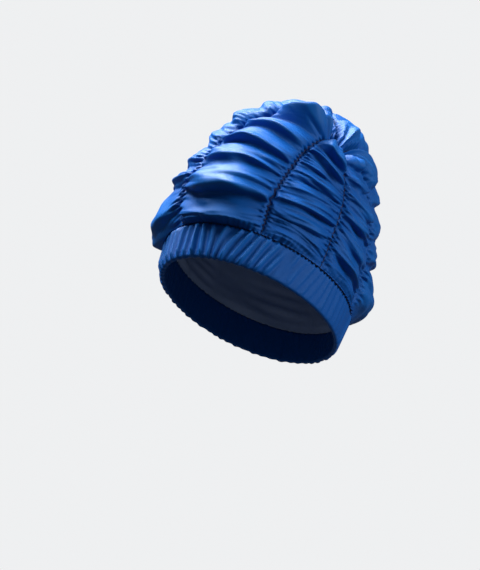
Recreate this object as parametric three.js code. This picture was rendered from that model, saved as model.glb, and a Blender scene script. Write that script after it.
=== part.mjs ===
// A ruched shower cap: a tall dome of gathered cloth panels on a ribbed elastic band,
// with a thin waterproof lining inside.
// Millimetres, +Z up. The origin is the middle of the head opening, level with the
// band's lower edge. The front of the cap faces -Y and the wearer's left is +X.
// An angle is measured from the front, round towards +X. A rise runs from 0 at the
// band to 1 at the crown, where the seams meet.
import * as THREE from 'three';
import { mergeVertices } from 'three/addons/utils/BufferGeometryUtils.js';

// Band: the outside sizes are between the ribs, at the lower edge
const bandLength = 190;
const bandWidth = 152;
const bandHeight = 31;
const bandFlareWidth = 3;
const bandFoldHeight = 1;
const bandCornerHeight = 3;
const ribDepth = 2.4;
const ribCount = 64;
const ribWanderShare = 0.3;
const ribRhythm = 5;
const ribCornerShare = 0.4;
const bandElasticHeight = 24;

// Layers, from the outside in
const clothThickness = 0.8;
const elasticThickness = 0.9;
const liningThickness = 0.5;
const layerClearance = 0.5;
const seamClearance = 0.4;

// Dome: the sizes are at the seams, without the puffs of cloth between them. It is
// wider and longer than the band's top edge by an overhang on each side.
const domeOverhangWidth = 2.5;
const domeOverhangLength = 7;
const domeCentreHeight = 60;
const domeRiseHeight = 143;
const domeRoundness = 1.8;
const domeFootRoundness = 2.5;
const leanAsideDistance = 9;
const leanBackDistance = 6;
const domeUprightShare = 0.45;
const tuckShare = 0.22;

// Crown: where the seams meet, seen from the dome's centre
const crownAsideDistance = 47;
const crownForwardDistance = 33;
const crownLiftHeight = 90;
const crownDimpleDepth = 14;
const dimpleStartShare = 0.72;
const liningEaseDepth = 1.5;
const patchWidthShare = 0.075;
const panelEndShare = 0.955;
const patchRows = 3;
const patchColumns = 24;

// Seams: places round the band, as shares of its length from the front
const seamShares = [-0.06, 0.08, 0.187, 0.312, 0.49, 0.675, 0.745, 0.82];
const controlClimbShare = 1.23;
const controlPullShare = 0.78;
const seamElasticWidth = 5;
const seamElasticEndShare = 0.9;
const joiningTapeWidth = 6;

// Gathered cloth: each panel puffs out between its seams, and creases cut the puff into
// folds that lean downhill. A crease's underside climbs steeply to the fold above it.
const puffHeight = 10.5;
const edgePuffHeight = 4.4;
const edgePuffReachLength = 1.8;
const footRowLength = 5;
const gatherStartLength = 3;
const gatherEndLength = 26;
const fullPuffWidth = 45;
const undersideLength = 6;
const foldReachLength = 21;
const leanStartLength = 18;
const creaseCutShare = 0.92;
const creaseBendShare = 1.25;
const puffPowerShare = 0.7;

// Each panel's puff as a share of the full one, how far its folds lean as a share of
// their height, and the length over which it rises from the band
const panelPuffShares = [1, 0.76, 0.7, 0.3, 0.6, 0.7, 0.5, 0.4];
const panelLeanShares = [0.5, 0.45, 0.45, 0.25, 0.35, 0.4, 0.35, 0.25];
const footReachLengths = [3, 8, 8, 6, 5, 5, 5, 3];

// The creases of the panels in front, from the band up. Each runs from a share of the
// left seam to a share of the right seam. Then come its depths at the left seam, in the
// middle and at the right seam.
const frontCreaseShares = [
  [
    [0.17, 0.17, 0.95, 1, 0.95],
    [0.28, 0.29, 0.95, 0.7, 0.85],
    [0.42, 0.43, 1, 0.95, 0.95],
    [0.54, 0.6, 1, 1, 1],
    [0.66, 0.79, 1, 1, 1],
  ],
  [
    [0.09, 0.07, 1, 0.9, 0.8],
    [0.16, 0.2, 1, 0.8, 0.8],
    [0.23, 0.32, 0.9, 0.9, 0.9],
    [0.31, 0.42, 0.9, 0.75, 0.9],
    [0.42, 0.52, 0.9, 1, 1],
    [0.52, 0.62, 1, 1, 1],
    [0.62, 0.74, 1, 1, 0.9],
    [0.78, 0.86, 0.8, 0.6, 0.7],
  ],
  [
    [0.16, 0.1, 0.9, 0.9, 0.9],
    [0.32, 0.22, 0.8, 0.6, 0.8],
    [0.43, 0.36, 1, 1, 0.9],
    [0.56, 0.5, 0.9, 0.6, 0.9],
    [0.7, 0.66, 0.9, 0.9, 0.9],
    [0.82, 0.8, 0.9, 1, 0.9],
  ],
];

// The other panels have this many creases, evenly spread, whose ends wander a little. The
// first and the last lie these shares of a pitch from the band and from the crown.
const panelCreaseCounts = [0, 0, 0, 4, 7, 10, 10, 7];
const firstPitchShares = [0, 0, 0, 2.1, 0.8, 0.8, 0.8, 1.6];
const lastPitchShares = [0, 0, 0, 2, 1.4, 1.3, 1.1, 1.1];
const creaseWanderShare = 0.016;
const creaseDepthShare = 0.95;
const middleDepthShare = 0.75;
const leftRhythm = 2.4;
const rightRhythm = 1.7;
const middleRhythm = 1.9;

// The fold over the top crease of the first panel is a large one, with an underside that
// grows longer from the left seam to the right seam
const topUndersideStartLength = 6;
const topUndersideEndLength = 22;
const topFoldHeight = 12;
const topFoldReachLength = 13;

// Places where a panel stands out further: the panel, the shares up and across it, how
// far the bulge reaches up as a share of the puff height and across as a share of the
// panel, and its height as a share of the puff height
const bulgeShares = [
  [0, 0.88, 0.5, 1.7, 0.4, 0.28],
  [3, 0.13, 0.4, 2, 0.5, 0.95],
  [3, 0.86, 0.5, 2.2, 0.5, 0.3],
  [4, 0.9, 0.5, 2.2, 0.5, 0.5],
  [7, 0.07, 0.3, 1.7, 0.35, 0.95],
  [7, 0.6, 0.5, 2.4, 0.6, 0.5],
];

// How finely the cloth is divided
const panelColumns = 8;
const panelRowLength = 10.5;
const columnsPerRib = 3;
const ringColumns = 64;
const liningColumns = 32;
const liningRows = 14;
const seamElasticStepLength = 10;
const weldDistance = 0.0001;

// How finely lengths and directions are measured
const ringSteps = 1440;
const climbSteps = 240;
const fineShare = 0.002;
const probeShare = 0.01;
const lastNormalShare = 0.96;
const crownBlendShare = 0.92;

// Worked out from the sizes above
const elasticDepth = clothThickness + layerClearance;
const liningDepth = elasticDepth + elasticThickness + layerClearance;
const bandTopWidth = bandWidth + 2 * bandFlareWidth;
const bandTopLength = bandLength + 2 * bandFlareWidth;
const domeWidth = bandTopWidth + 2 * domeOverhangWidth;
const domeLength = bandTopLength + 2 * domeOverhangLength;
const joinHeight = bandHeight + seamClearance;
const crownOffset = new THREE.Vector3(crownAsideDistance, -crownForwardDistance, crownLiftHeight);
const crownDirection = crownOffset.normalize();

// 0 before the start, 1 after the end, with a soft ramp between
function ramp(value, start, end) {
  return THREE.MathUtils.smoothstep(value, start, end);
}

function ellipsePoint(angle, width, length, height) {
  return new THREE.Vector3(width / 2 * Math.sin(angle), -length / 2 * Math.cos(angle), height);
}

// The angle that lies at a share of the way round the band
function makeAngleAtShare() {
  const lengths = [0];
  const from = ellipsePoint(0, bandTopWidth, bandTopLength, 0);
  for (let step = 1; step <= ringSteps; step += 1) {
    const to = ellipsePoint(2 * Math.PI * step / ringSteps, bandTopWidth, bandTopLength, 0);
    lengths.push(lengths[step - 1] + from.distanceTo(to));
    from.copy(to);
  }
  return (share) => {
    const turns = Math.floor(share);
    const target = (share - turns) * lengths[ringSteps];
    const step = lengths.findIndex((length) => length > target);
    const part = (target - lengths[step - 1]) / (lengths[step] - lengths[step - 1]);
    return 2 * Math.PI * (turns + (step - 1 + part) / ringSteps);
  };
}

const angleAtShare = makeAngleAtShare();

// Distance from the dome's centre to its surface, in a unit direction
function domeRadius(direction) {
  const level = Math.hypot(direction.x / (domeWidth / 2), direction.y / (domeLength / 2));
  const upright = Math.abs(direction.z) / domeRiseHeight;
  const roundness = direction.z > 0 ? domeRoundness : domeFootRoundness;
  return Math.pow(Math.pow(level, roundness) + Math.pow(upright, roundness), -1 / roundness);
}

// A point of the dome: the directions from its centre follow a curve with one control
// direction, so that each seam climbs, turns in and ends at the crown. The dome leans
// with its height, and stands as it is at one share of its rise.
function domePoint(angle, rise) {
  const drop = domeCentreHeight - bandHeight;
  const footShare = Math.pow(1 - Math.pow(drop / domeRiseHeight, domeFootRoundness), 1 / domeFootRoundness);
  const foot = ellipsePoint(angle, domeWidth * footShare, domeLength * footShare, -drop);
  const control = new THREE.Vector3(foot.x, foot.y, 0).normalize();
  control.z = controlClimbShare;
  control.setLength(controlPullShare);
  const direction = foot.normalize().multiplyScalar((1 - rise) ** 2);
  direction.addScaledVector(control, 2 * rise * (1 - rise));
  direction.addScaledVector(crownDirection, rise ** 2);
  direction.normalize();
  const dimple = crownDimpleDepth * ramp(rise, dimpleStartShare, 1);
  const point = direction.multiplyScalar(domeRadius(direction) - dimple);
  const lean = point.z / domeRiseHeight - domeUprightShare;
  return point.add(new THREE.Vector3(leanAsideDistance * lean, leanBackDistance * lean, domeCentreHeight));
}

// The surface that the seams lie on: the dome, drawn in to the band's top edge at its foot
function seamPoint(angle, rise) {
  const drawIn = ellipsePoint(angle, bandTopWidth, bandTopLength, joinHeight);
  drawIn.sub(domePoint(angle, 0)).multiplyScalar(1 - ramp(rise, 0, tuckShare));
  return domePoint(angle, rise).add(drawIn);
}

// The direction out of that surface
function seamNormal(angle, rise) {
  const place = Math.min(Math.max(rise, fineShare), lastNormalShare);
  const round = seamPoint(angle + fineShare, place).sub(seamPoint(angle - fineShare, place));
  const up = seamPoint(angle, place + fineShare).sub(seamPoint(angle, place - fineShare));
  return round.cross(up).normalize().lerp(crownDirection, ramp(rise, crownBlendShare, 1)).normalize();
}

function layerPoint(angle, rise, height) {
  return seamPoint(angle, rise).addScaledVector(seamNormal(angle, rise), height);
}

// The rise that lies a length above the band, at an angle
function riseAtLength(angle, length) {
  return length * probeShare / seamPoint(angle, probeShare).distanceTo(seamPoint(angle, 0));
}

// A closed body from flat lists of corners: quads become two triangles each, and
// triangles that shrink to a line at a pole are left out
function solidFromQuads(quads) {
  const positions = [];
  for (const [a, b, c, d] of quads) {
    for (const corners of [[a, b, c], [a, c, d]]) {
      const isOpen = corners.every((corner, place) => (
        corner.distanceTo(corners[(place + 1) % corners.length]) > weldDistance
      ));
      if (isOpen) {
        corners.forEach((corner) => positions.push(corner.x, corner.y, corner.z));
      }
    }
  }
  const geometry = new THREE.BufferGeometry();
  geometry.setAttribute('position', new THREE.Float32BufferAttribute(positions, 3));
  return mergeVertices(geometry, weldDistance);
}

// A sheet with a thickness, between an outer and an inner grid of points. The rows climb
// and the columns go round; a ring's last column meets its first.
function sheetSolid(outer, inner, isRing) {
  const rows = outer.length - 1;
  const columns = outer[0].length - 1;
  const quads = [];
  for (let row = 0; row < rows; row += 1) {
    for (let column = 0; column < columns; column += 1) {
      const [a, b, c, d] = [[row, column], [row, column + 1], [row + 1, column + 1], [row + 1, column]];
      quads.push([a, b, c, d].map(([r, k]) => outer[r][k]));
      quads.push([a, d, c, b].map(([r, k]) => inner[r][k]));
    }
  }
  for (let column = 0; column < columns; column += 1) {
    const next = column + 1;
    quads.push([outer[0][column], inner[0][column], inner[0][next], outer[0][next]]);
    quads.push([outer[rows][column], outer[rows][next], inner[rows][next], inner[rows][column]]);
  }
  for (let row = 0; row < rows && !isRing; row += 1) {
    const next = row + 1;
    quads.push([outer[row][0], outer[next][0], inner[next][0], inner[row][0]]);
    quads.push([outer[row][columns], inner[row][columns], inner[next][columns], outer[next][columns]]);
  }
  return solidFromQuads(quads);
}

function gridOf(rows, columns, pointAt) {
  return Array.from({ length: rows + 1 }, (_, row) => (
    Array.from({ length: columns + 1 }, (__, column) => pointAt(row, column))
  ));
}

// Points on a ring that closes exactly
function ringAngle(column, columns) {
  return 2 * Math.PI * (column % columns) / columns;
}

// A closed loop of section points at each place round the band, joined into one body
function loopSolid(sections) {
  const quads = [];
  sections.forEach((section, column) => {
    const next = sections[(column + 1) % sections.length];
    section.forEach((point, row) => {
      const above = (row + 1) % section.length;
      quads.push([point, next[row], next[above], section[above]]);
    });
  });
  return solidFromQuads(quads);
}

// Lengths from the band to each of many even rises along one climb
function climbLengths(angle) {
  const lengths = [0];
  const from = seamPoint(angle, 0);
  for (let step = 1; step <= climbSteps; step += 1) {
    const to = seamPoint(angle, step / climbSteps);
    lengths.push(lengths[step - 1] + from.distanceTo(to));
    from.copy(to);
  }
  return lengths;
}

// The rise at which values that grow along a climb, one for each step, reach a target
function riseWhere(values, target) {
  const found = values.findIndex((value) => value >= target);
  const step = found < 0 ? climbSteps : Math.max(1, found);
  const part = (target - values[step - 1]) / (values[step] - values[step - 1]);
  return (step - 1 + part) / climbSteps;
}

// Rises between two ends of one climb whose points lie about one step length apart
function evenRises(angle, start, end, stepLength) {
  const lengths = climbLengths(angle);
  const [startLength, endLength] = [start, end].map((rise) => lengths[Math.round(rise * climbSteps)]);
  const count = Math.ceil((endLength - startLength) / stepLength);
  return Array.from({ length: count + 1 }, (_, place) => {
    const target = THREE.MathUtils.lerp(startLength, endLength, place / count);
    return place === 0 ? start : riseWhere(lengths, target);
  });
}

// A point of a layer, moved sideways along the ring by an offset
function besidePoint(angle, rise, height, offset) {
  const sideways = seamPoint(angle + probeShare, rise).sub(seamPoint(angle - probeShare, rise)).normalize();
  return layerPoint(angle, rise, height).addScaledVector(sideways, offset);
}

// The creases of a panel: its own table, or evenly spread ones
function creasesOf(index) {
  if (index < frontCreaseShares.length) {
    return frontCreaseShares[index];
  }
  const count = panelCreaseCounts[index];
  return Array.from({ length: count }, (_, place) => {
    const pitches = count - 1 + firstPitchShares[index] + lastPitchShares[index];
    const share = (place + firstPitchShares[index]) / pitches;
    const leftWander = creaseWanderShare * Math.sin(leftRhythm * place + index);
    const rightWander = creaseWanderShare * Math.sin(rightRhythm * place + 2 * index);
    const middle = middleDepthShare + (1 - middleDepthShare) * Math.sin(middleRhythm * place + index);
    return [share + leftWander, share + rightWander, creaseDepthShare, middle, creaseDepthShare];
  });
}

function isTopFold(index, place, creases) {
  return index === 0 && place === creases.length - 1;
}

// How long the underside over one crease is, at a place across the panel
function undersideAt(index, place, creases, across) {
  if (isTopFold(index, place, creases)) {
    return THREE.MathUtils.lerp(topUndersideStartLength, topUndersideEndLength, across);
  }
  return undersideLength;
}

// How far a panel stands out over the seams: a puff that rises steeply from the seams
// and the band, less the deepest cut of the creases, plus its large folds and bulges
function puffAt(index, creases, share, across, length, width) {
  const swell = Math.sin(Math.PI * across);
  let cut = 0;
  let stand = 0;
  creases.forEach(([left, right, leftDepth, middleDepth, rightDepth], place) => {
    const underside = undersideAt(index, place, creases, across);
    const off = (share - THREE.MathUtils.lerp(left, right, across)) * length;
    const sideDepth = across < 1 / 2 ? leftDepth : rightDepth;
    const towardsMiddle = ramp(1 / 2 - Math.abs(across - 1 / 2), 0, 1 / 2);
    const depth = THREE.MathUtils.lerp(sideDepth, middleDepth, towardsMiddle);
    const above = Math.max(0, 1 - off / underside);
    const below = Math.max(0, 1 + off / foldReachLength) ** creaseBendShare;
    cut = Math.max(cut, depth * (off > 0 ? above : below));
    if (isTopFold(index, place, creases) && off > 0) {
      const past = Math.max(0, off - underside) / topFoldReachLength;
      stand = topFoldHeight * Math.min(1, off / underside) * Math.exp(-past * past) * swell;
    }
  });
  const fullness = Math.min(1, width / fullPuffWidth) * Math.pow(swell, puffPowerShare);
  const offSeam = width * Math.min(across, 1 - across);
  const edge = 1 - Math.exp(-offSeam / edgePuffReachLength);
  const foot = 1 - Math.exp(-share * length / footReachLengths[index]);
  const gathered = ramp((1 - share) * length, gatherStartLength, gatherEndLength);
  let puff = puffHeight * panelPuffShares[index] * fullness + edgePuffHeight * edge + stand;
  puff *= foot * gathered;
  for (const [panel, shareUp, shareAcross, reachUp, reachAcross, height] of bulgeShares) {
    const up = (share - shareUp) * length / (reachUp * puffHeight);
    const aside = (across - shareAcross) / reachAcross;
    puff += panel === index ? height * puffHeight * Math.exp(-up * up - aside * aside) * edge * foot : 0;
  }
  return Math.max(0, puff * (1 - creaseCutShare * Math.min(cut, 1)));
}

// Where the rows of a panel lie at one place across it, as shares of the climb: the band,
// just above it, each crease, the end of the underside over it, and the panel's end
function rowStops(index, creases, across, length, endShare) {
  const stops = [0, footRowLength / length];
  creases.forEach(([left, right], place) => {
    const line = THREE.MathUtils.lerp(left, right, across);
    stops.push(line, line + undersideAt(index, place, creases, across) / length);
  });
  return stops.concat(endShare);
}

// The inner side of a sheet: each point moved in along the mean of the directions out of
// the faces round it, or along the seams' own direction at the sheet's edges
function innerGrid(outer, edgeDirection, thickness) {
  const lastRow = outer.length - 1;
  const lastColumn = outer[0].length - 1;
  return outer.map((points, row) => points.map((point, column) => {
    if (row === 0 || row === lastRow || column === 0 || column === lastColumn) {
      return point.clone().addScaledVector(edgeDirection(row, column), -thickness);
    }
    const round = points[column + 1].clone().sub(points[column - 1]);
    const up = outer[row + 1][column].clone().sub(outer[row - 1][column]);
    return point.clone().addScaledVector(round.cross(up).normalize(), -thickness);
  }));
}

// One gathered panel between two seams. The rows' stops are divided further, into parts
// that are short enough at both seams.
function panelSolid(index) {
  const left = angleAtShare(seamShares[index]);
  const isLast = index === seamShares.length - 1;
  const right = angleAtShare(isLast ? seamShares[0] + 1 : seamShares[index + 1]);
  const creases = creasesOf(index);
  const leftLengths = climbLengths(left);
  const rightLengths = climbLengths(right);

  function columnAt(across) {
    const length = THREE.MathUtils.lerp(leftLengths[climbSteps], rightLengths[climbSteps], across);
    const climbShares = leftLengths.map((leftLength, step) => THREE.MathUtils.lerp(
      leftLength / leftLengths[climbSteps],
      rightLengths[step] / rightLengths[climbSteps],
      across,
    ));
    const endShare = climbShares[Math.round(panelEndShare * climbSteps)];
    const stops = rowStops(index, creases, across, length, endShare);
    return { across, length, climbShares, stops };
  }

  const ends = [columnAt(0), columnAt(1)];
  const counts = ends[0].stops.slice(1).map((_, place) => Math.max(...ends.map(({ stops, length }) => (
    Math.ceil((stops[place + 1] - stops[place]) * length / panelRowLength)
  ))));
  const columns = Array.from({ length: panelColumns + 1 }, (_, number) => {
    const column = columnAt((1 - Math.cos(Math.PI * number / panelColumns)) / 2);
    const shares = counts.flatMap((count, place) => Array.from({ length: count }, (__, part) => (
      THREE.MathUtils.lerp(column.stops[place], column.stops[place + 1], part / count)
    )));
    shares.push(column.stops[counts.length]);
    const rises = shares.map((share) => riseWhere(column.climbShares, share));
    const angle = THREE.MathUtils.lerp(left, right, column.across);
    return { ...column, shares, rises, angle };
  });
  const rowCount = columns[0].shares.length - 1;

  function outerPoint(row, number) {
    const { across, length, shares, rises, angle } = columns[number];
    const width = seamPoint(left, rises[row]).distanceTo(seamPoint(right, rises[row]));
    const isEdge = number % panelColumns === 0;
    const height = isEdge ? 0 : puffAt(index, creases, shares[row], across, length, width);
    const inset = seamClearance * (1 / 2 - across);
    const lean = panelLeanShares[index] * height * ramp(shares[row] * length, 0, leanStartLength);
    const ahead = Math.min(rises[row] + fineShare, 1);
    const climb = seamPoint(angle, ahead).sub(seamPoint(angle, ahead - fineShare)).normalize();
    return besidePoint(angle, rises[row], height, inset).addScaledVector(climb, -lean);
  }

  const outer = gridOf(rowCount, panelColumns, outerPoint);
  const edgeDirection = (row, number) => seamNormal(columns[number].angle, columns[number].rises[row]);
  return sheetSolid(outer, innerGrid(outer, edgeDirection, clothThickness), false);
}

// The narrow elastic under one seam, that draws the panels together lengthways
function seamElasticSolid(share) {
  const angle = angleAtShare(share);
  const start = riseAtLength(angle, joiningTapeWidth + layerClearance);
  const rises = evenRises(angle, start, seamElasticEndShare, seamElasticStepLength);

  function elasticPoint(row, column, depth) {
    const narrowing = 1 - ramp(rises[row], dimpleStartShare, 1);
    return besidePoint(angle, rises[row], -depth, seamElasticWidth * (column - 1 / 2) * narrowing);
  }

  const outer = gridOf(rises.length - 1, 1, (row, column) => elasticPoint(row, column, elasticDepth));
  const inner = gridOf(rises.length - 1, 1, (row, column) => (
    elasticPoint(row, column, elasticDepth + elasticThickness)
  ));
  return sheetSolid(outer, inner, false);
}

// A ring or a cap of even thickness at a depth under the seams
function layerSolid(rowCount, columnCount, thickness, riseAt, depthAt) {
  function ringPoint(row, column, extra) {
    const angle = ringAngle(column, columnCount);
    const rise = riseAt(row, angle);
    return layerPoint(angle, rise, -depthAt(rise) - extra);
  }

  const outer = gridOf(rowCount, columnCount, (row, column) => ringPoint(row, column, 0));
  const inner = gridOf(rowCount, columnCount, (row, column) => ringPoint(row, column, thickness));
  return sheetSolid(outer, inner, true);
}

// The lining's first row ends at the joining tape's upper edge, and the rest are even
function liningSolid() {
  function riseAt(row, angle) {
    const tapeRise = riseAtLength(angle, joiningTapeWidth);
    return row === 0 ? 0 : tapeRise + (1 - tapeRise) * (row - 1) / (liningRows - 1);
  }

  const depthAt = (rise) => liningDepth + liningEaseDepth * ramp(rise, 0, tuckShare);
  return layerSolid(liningRows, liningColumns, liningThickness, riseAt, depthAt);
}

function joiningTapeSolid() {
  const riseAt = (row, angle) => row * riseAtLength(angle, joiningTapeWidth);
  return layerSolid(1, ringColumns, elasticThickness, riseAt, () => elasticDepth);
}

function crownPatchSolid() {
  const riseAt = (row) => 1 - patchWidthShare * (1 - row / patchRows);
  return layerSolid(patchRows, patchColumns, elasticThickness, riseAt, () => elasticDepth);
}

// A point of the band: its outside between the ribs, moved out by a height
function bandPoint(angle, z, height) {
  const flare = 2 * bandFlareWidth * z / bandHeight;
  const width = bandWidth + flare;
  const length = bandLength + flare;
  const outward = new THREE.Vector3(Math.sin(angle) / width, -Math.cos(angle) / length, 0).normalize();
  return ellipsePoint(angle, width, length, z).addScaledVector(outward, height);
}

// The band's casing: one strip of cloth folded up round the elastic, open at its top
// edge, with the outer wall gathered into upright ribs
function bandCasingSolid() {
  const columns = ribCount * columnsPerRib;
  const innerWall = clothThickness + 2 * layerClearance + elasticThickness;
  const sections = Array.from({ length: columns }, (_, column) => {
    const share = column / columns;
    const wander = ribWanderShare * Math.sin(ribRhythm * 2 * Math.PI * share) / ribCount;
    const angle = angleAtShare(share + wander);
    const rib = ribDepth * Math.sin(Math.PI * (column % columnsPerRib) / columnsPerRib);
    const outline = [
      [0, rib * ribCornerShare],
      [bandCornerHeight, rib],
      [bandHeight - bandCornerHeight, rib],
      [bandHeight, rib * ribCornerShare],
      [bandHeight, -clothThickness],
      [bandFoldHeight, -clothThickness],
      [bandFoldHeight, -innerWall],
      [bandHeight, -innerWall],
      [bandHeight, -innerWall - clothThickness],
      [0, -innerWall - clothThickness],
    ];
    return outline.map(([z, height]) => bandPoint(angle, z, height));
  });
  return loopSolid(sections);
}

function bandElasticSolid() {
  const bottom = bandFoldHeight + layerClearance;
  const depth = clothThickness + layerClearance;
  const pointAt = (row, column, extra) => (
    bandPoint(ringAngle(column, ringColumns), bottom + bandElasticHeight * row, -depth - extra)
  );
  const outer = gridOf(1, ringColumns, (row, column) => pointAt(row, column, 0));
  const inner = gridOf(1, ringColumns, (row, column) => pointAt(row, column, elasticThickness));
  return sheetSolid(outer, inner, true);
}

function clothMaterial() {
  return new THREE.MeshStandardMaterial({ color: 0x14489c, roughness: 0.42, metalness: 0 });
}

function elasticMaterial() {
  return new THREE.MeshStandardMaterial({ color: 0x1b3f86, roughness: 0.8, metalness: 0 });
}

function liningMaterial() {
  return new THREE.MeshStandardMaterial({ color: 0x8fa6cf, roughness: 0.3, metalness: 0 });
}

const cap = new THREE.Group();

function addPiece(name, geometry, material) {
  const piece = new THREE.Mesh(geometry, material);
  piece.name = name;
  cap.add(piece);
}

seamShares.forEach((share, index) => {
  addPiece(`outer_panel_${index + 1}`, panelSolid(index), clothMaterial());
  addPiece(`seam_elastic_${index + 1}`, seamElasticSolid(share), elasticMaterial());
});
addPiece('band_casing', bandCasingSolid(), clothMaterial());
addPiece('band_elastic', bandElasticSolid(), elasticMaterial());
addPiece('joining_tape', joiningTapeSolid(), clothMaterial());
addPiece('crown_patch', crownPatchSolid(), clothMaterial());
addPiece('lining', liningSolid(), liningMaterial());

export default cap;
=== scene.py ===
import math
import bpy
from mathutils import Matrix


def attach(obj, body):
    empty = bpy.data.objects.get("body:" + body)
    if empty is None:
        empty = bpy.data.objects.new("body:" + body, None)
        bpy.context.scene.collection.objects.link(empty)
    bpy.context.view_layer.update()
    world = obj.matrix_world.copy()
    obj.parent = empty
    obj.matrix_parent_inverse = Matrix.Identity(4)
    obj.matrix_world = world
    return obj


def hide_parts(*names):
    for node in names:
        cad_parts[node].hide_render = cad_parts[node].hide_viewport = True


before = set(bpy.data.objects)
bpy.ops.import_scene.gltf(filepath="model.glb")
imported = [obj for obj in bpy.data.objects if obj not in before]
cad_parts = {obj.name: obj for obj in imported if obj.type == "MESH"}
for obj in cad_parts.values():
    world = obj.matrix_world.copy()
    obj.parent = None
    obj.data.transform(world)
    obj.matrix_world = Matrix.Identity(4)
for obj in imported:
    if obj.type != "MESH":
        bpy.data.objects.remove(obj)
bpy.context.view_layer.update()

from types import SimpleNamespace

import bmesh
import bpy
import numpy as np
from bpy.props import FloatProperty, FloatVectorProperty, IntProperty, PointerProperty
from mathutils import Matrix, Vector

bl_info = {
    "name": "Ruched shower cap",
    "version": (1, 0, 0),
    "blender": (4, 5, 0),
    "location": "3D View > Sidebar > Shower cap",
    "description": "Dresses the packed solids of a ruched shower cap in gathered cloth",
    "category": "Object",
}

MM = 0.001
FULL_TURN = 2 * np.pi

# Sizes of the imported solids, in millimetres: the surface that the seams lie on
BAND_LENGTH, BAND_WIDTH, BAND_HEIGHT, BAND_FLARE = 190.0, 152.0, 31.0, 3.0
BAND_TOP = BAND_WIDTH + 2 * BAND_FLARE, BAND_LENGTH + 2 * BAND_FLARE
DOME_WIDTH, DOME_LENGTH, DOME_CENTRE, DOME_RISE = 163.0, 210.0, 60.0, 143.0
DOME_ROUND, DOME_FOOT_ROUND = 1.8, 2.5
DOME_LEAN, DOME_UPRIGHT = np.array([9.0, 6.0, 0.0]), 0.45
TUCK = 0.22
CROWN, CROWN_DIMPLE, DIMPLE_START = np.array([47.0, -33.0, 90.0]), 14.0, 0.72
CONTROL_CLIMB, CONTROL_PULL = 1.23, 0.78
SEAM_CLEARANCE, LAYER_CLEARANCE = 0.4, 0.5
CLOTH, ELASTIC = 0.8, 0.9
LINING_DEPTH, LINING_EASE = 2 * LAYER_CLEARANCE + CLOTH + ELASTIC, 1.5
JOIN_HEIGHT = BAND_HEIGHT + SEAM_CLEARANCE

# The seams' places, as shares of the way round the band from the front, and the first
# seam's again after a whole turn
SEAM_SHARES = [-0.06, 0.08, 0.187, 0.312, 0.49, 0.675, 0.745, 0.82]
SEAM_COUNT = len(SEAM_SHARES)
SEAM_PLACES = SEAM_SHARES + [1 + SEAM_SHARES[0]]

# How the gathered cloth pulls three seams sideways: shares of the climb, and turns
# (radians) at them. Each turn is a mean over places this near.
SEAM_SHIFTS = {
    0: ((0.0, 0.1, 0.26, 0.4, 0.55, 0.68, 0.85, 1.0),
        (-0.04, -0.09, -0.01, -0.11, -0.15, -0.19, -0.12, 0.0)),
    1: ((0.0, 0.2, 0.45, 0.75, 1.0), (-0.02, 0.03, 0.03, 0.0, 0.0)),
    2: ((0.0, 0.2, 0.52, 0.65, 0.8, 0.92, 1.0), (0.0, 0.08, 0.10, 0.085, 0.03, 0.0, 0.0)),
}
SHIFT_NEAR = np.linspace(-0.06, 0.06, 7)

# The main creases of the panels that face the camera, from the band up. Each runs from
# a share of the left seam's length to a share of the right seam's. Then come its depths,
# as shares of the full depth, at the left seam, in the middle and at the right seam, the
# lengths of the fold's underside just above it at both seams (mm) and how much that fold
# stands out further (mm).
MAIN_CREASES = {
    0: [(0.16, 0.17, 0.9, 0.85, 0.9, 8.0, 8.0, 1.5), (0.28, 0.36, 0.9, 0.6, 0.8, 7.0, 7.5, 0.5),
        (0.42, 0.47, 0.9, 0.75, 0.85, 8.0, 8.5, 1.0), (0.54, 0.60, 0.9, 0.8, 0.9, 8.0, 10.0, 2.0),
        (0.66, 0.78, 0.9, 0.9, 1.0, 13.0, 24.0, 12.0)],
    1: [(0.09, 0.07, 1.0, 0.9, 0.8, 4.0, 4.0, 0.0), (0.16, 0.20, 1.0, 0.8, 0.8, 4.5, 4.5, 0.0),
        (0.23, 0.32, 0.9, 0.9, 0.9, 4.5, 4.5, 0.0), (0.31, 0.42, 0.9, 0.75, 0.9, 4.5, 4.5, 0.0),
        (0.41, 0.50, 0.9, 1.0, 1.0, 5.0, 5.0, 0.5), (0.51, 0.57, 0.9, 0.8, 0.8, 5.0, 5.0, 0.5),
        (0.61, 0.64, 1.0, 1.0, 0.9, 9.0, 7.0, 4.5), (0.75, 0.73, 0.9, 0.9, 0.9, 6.0, 5.0, 3.0)],
    2: [(0.16, 0.10, 0.9, 0.9, 0.9, 5.5, 5.5, 1.0), (0.32, 0.22, 0.8, 0.6, 0.8, 5.5, 5.5, 0.0),
        (0.43, 0.36, 1.0, 1.0, 0.9, 6.0, 6.0, 1.0), (0.56, 0.50, 0.9, 0.6, 0.9, 5.5, 5.5, 0.0),
        (0.70, 0.66, 0.9, 0.9, 0.9, 6.0, 6.0, 1.0), (0.82, 0.80, 0.9, 1.0, 0.9, 6.0, 6.0, 2.0)],
}
# The other panels have this many, evenly spread. The first and the last lie these shares
# of a pitch from the band and from the crown.
CREASE_COUNTS = {3: (4, 2.1, 2.0), 4: (7, 0.8, 1.4), 5: (10, 0.8, 1.3), 6: (10, 0.8, 1.1), 7: (7, 1.6, 1.1)}
# How far those creases wander, as a share of the climb, their depth at the seams, the
# length of the underside above each and how much its fold stands out (mm)
CREASE_WANDER, EVEN_DEPTH, EVEN_UNDER, EVEN_STAND = 0.016, 0.95, 6.0, 0.6
# How far a crease bows, once and twice on its way across, how far seeded waves bend it
# and their pitch, and the pitch of the pattern that blunts it here and there (mm), with
# how often a sharp and a blunt crease are softened
CREASE_BOW, CREASE_DOUBLE_BOW, CREASE_BEND, BEND_PITCH = 2.5, 1.6, 1.6, 46.0
BLUNT_PITCH, SHARP_TIMES, BLUNT_TIMES = 50.0, 2, 7
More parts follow.
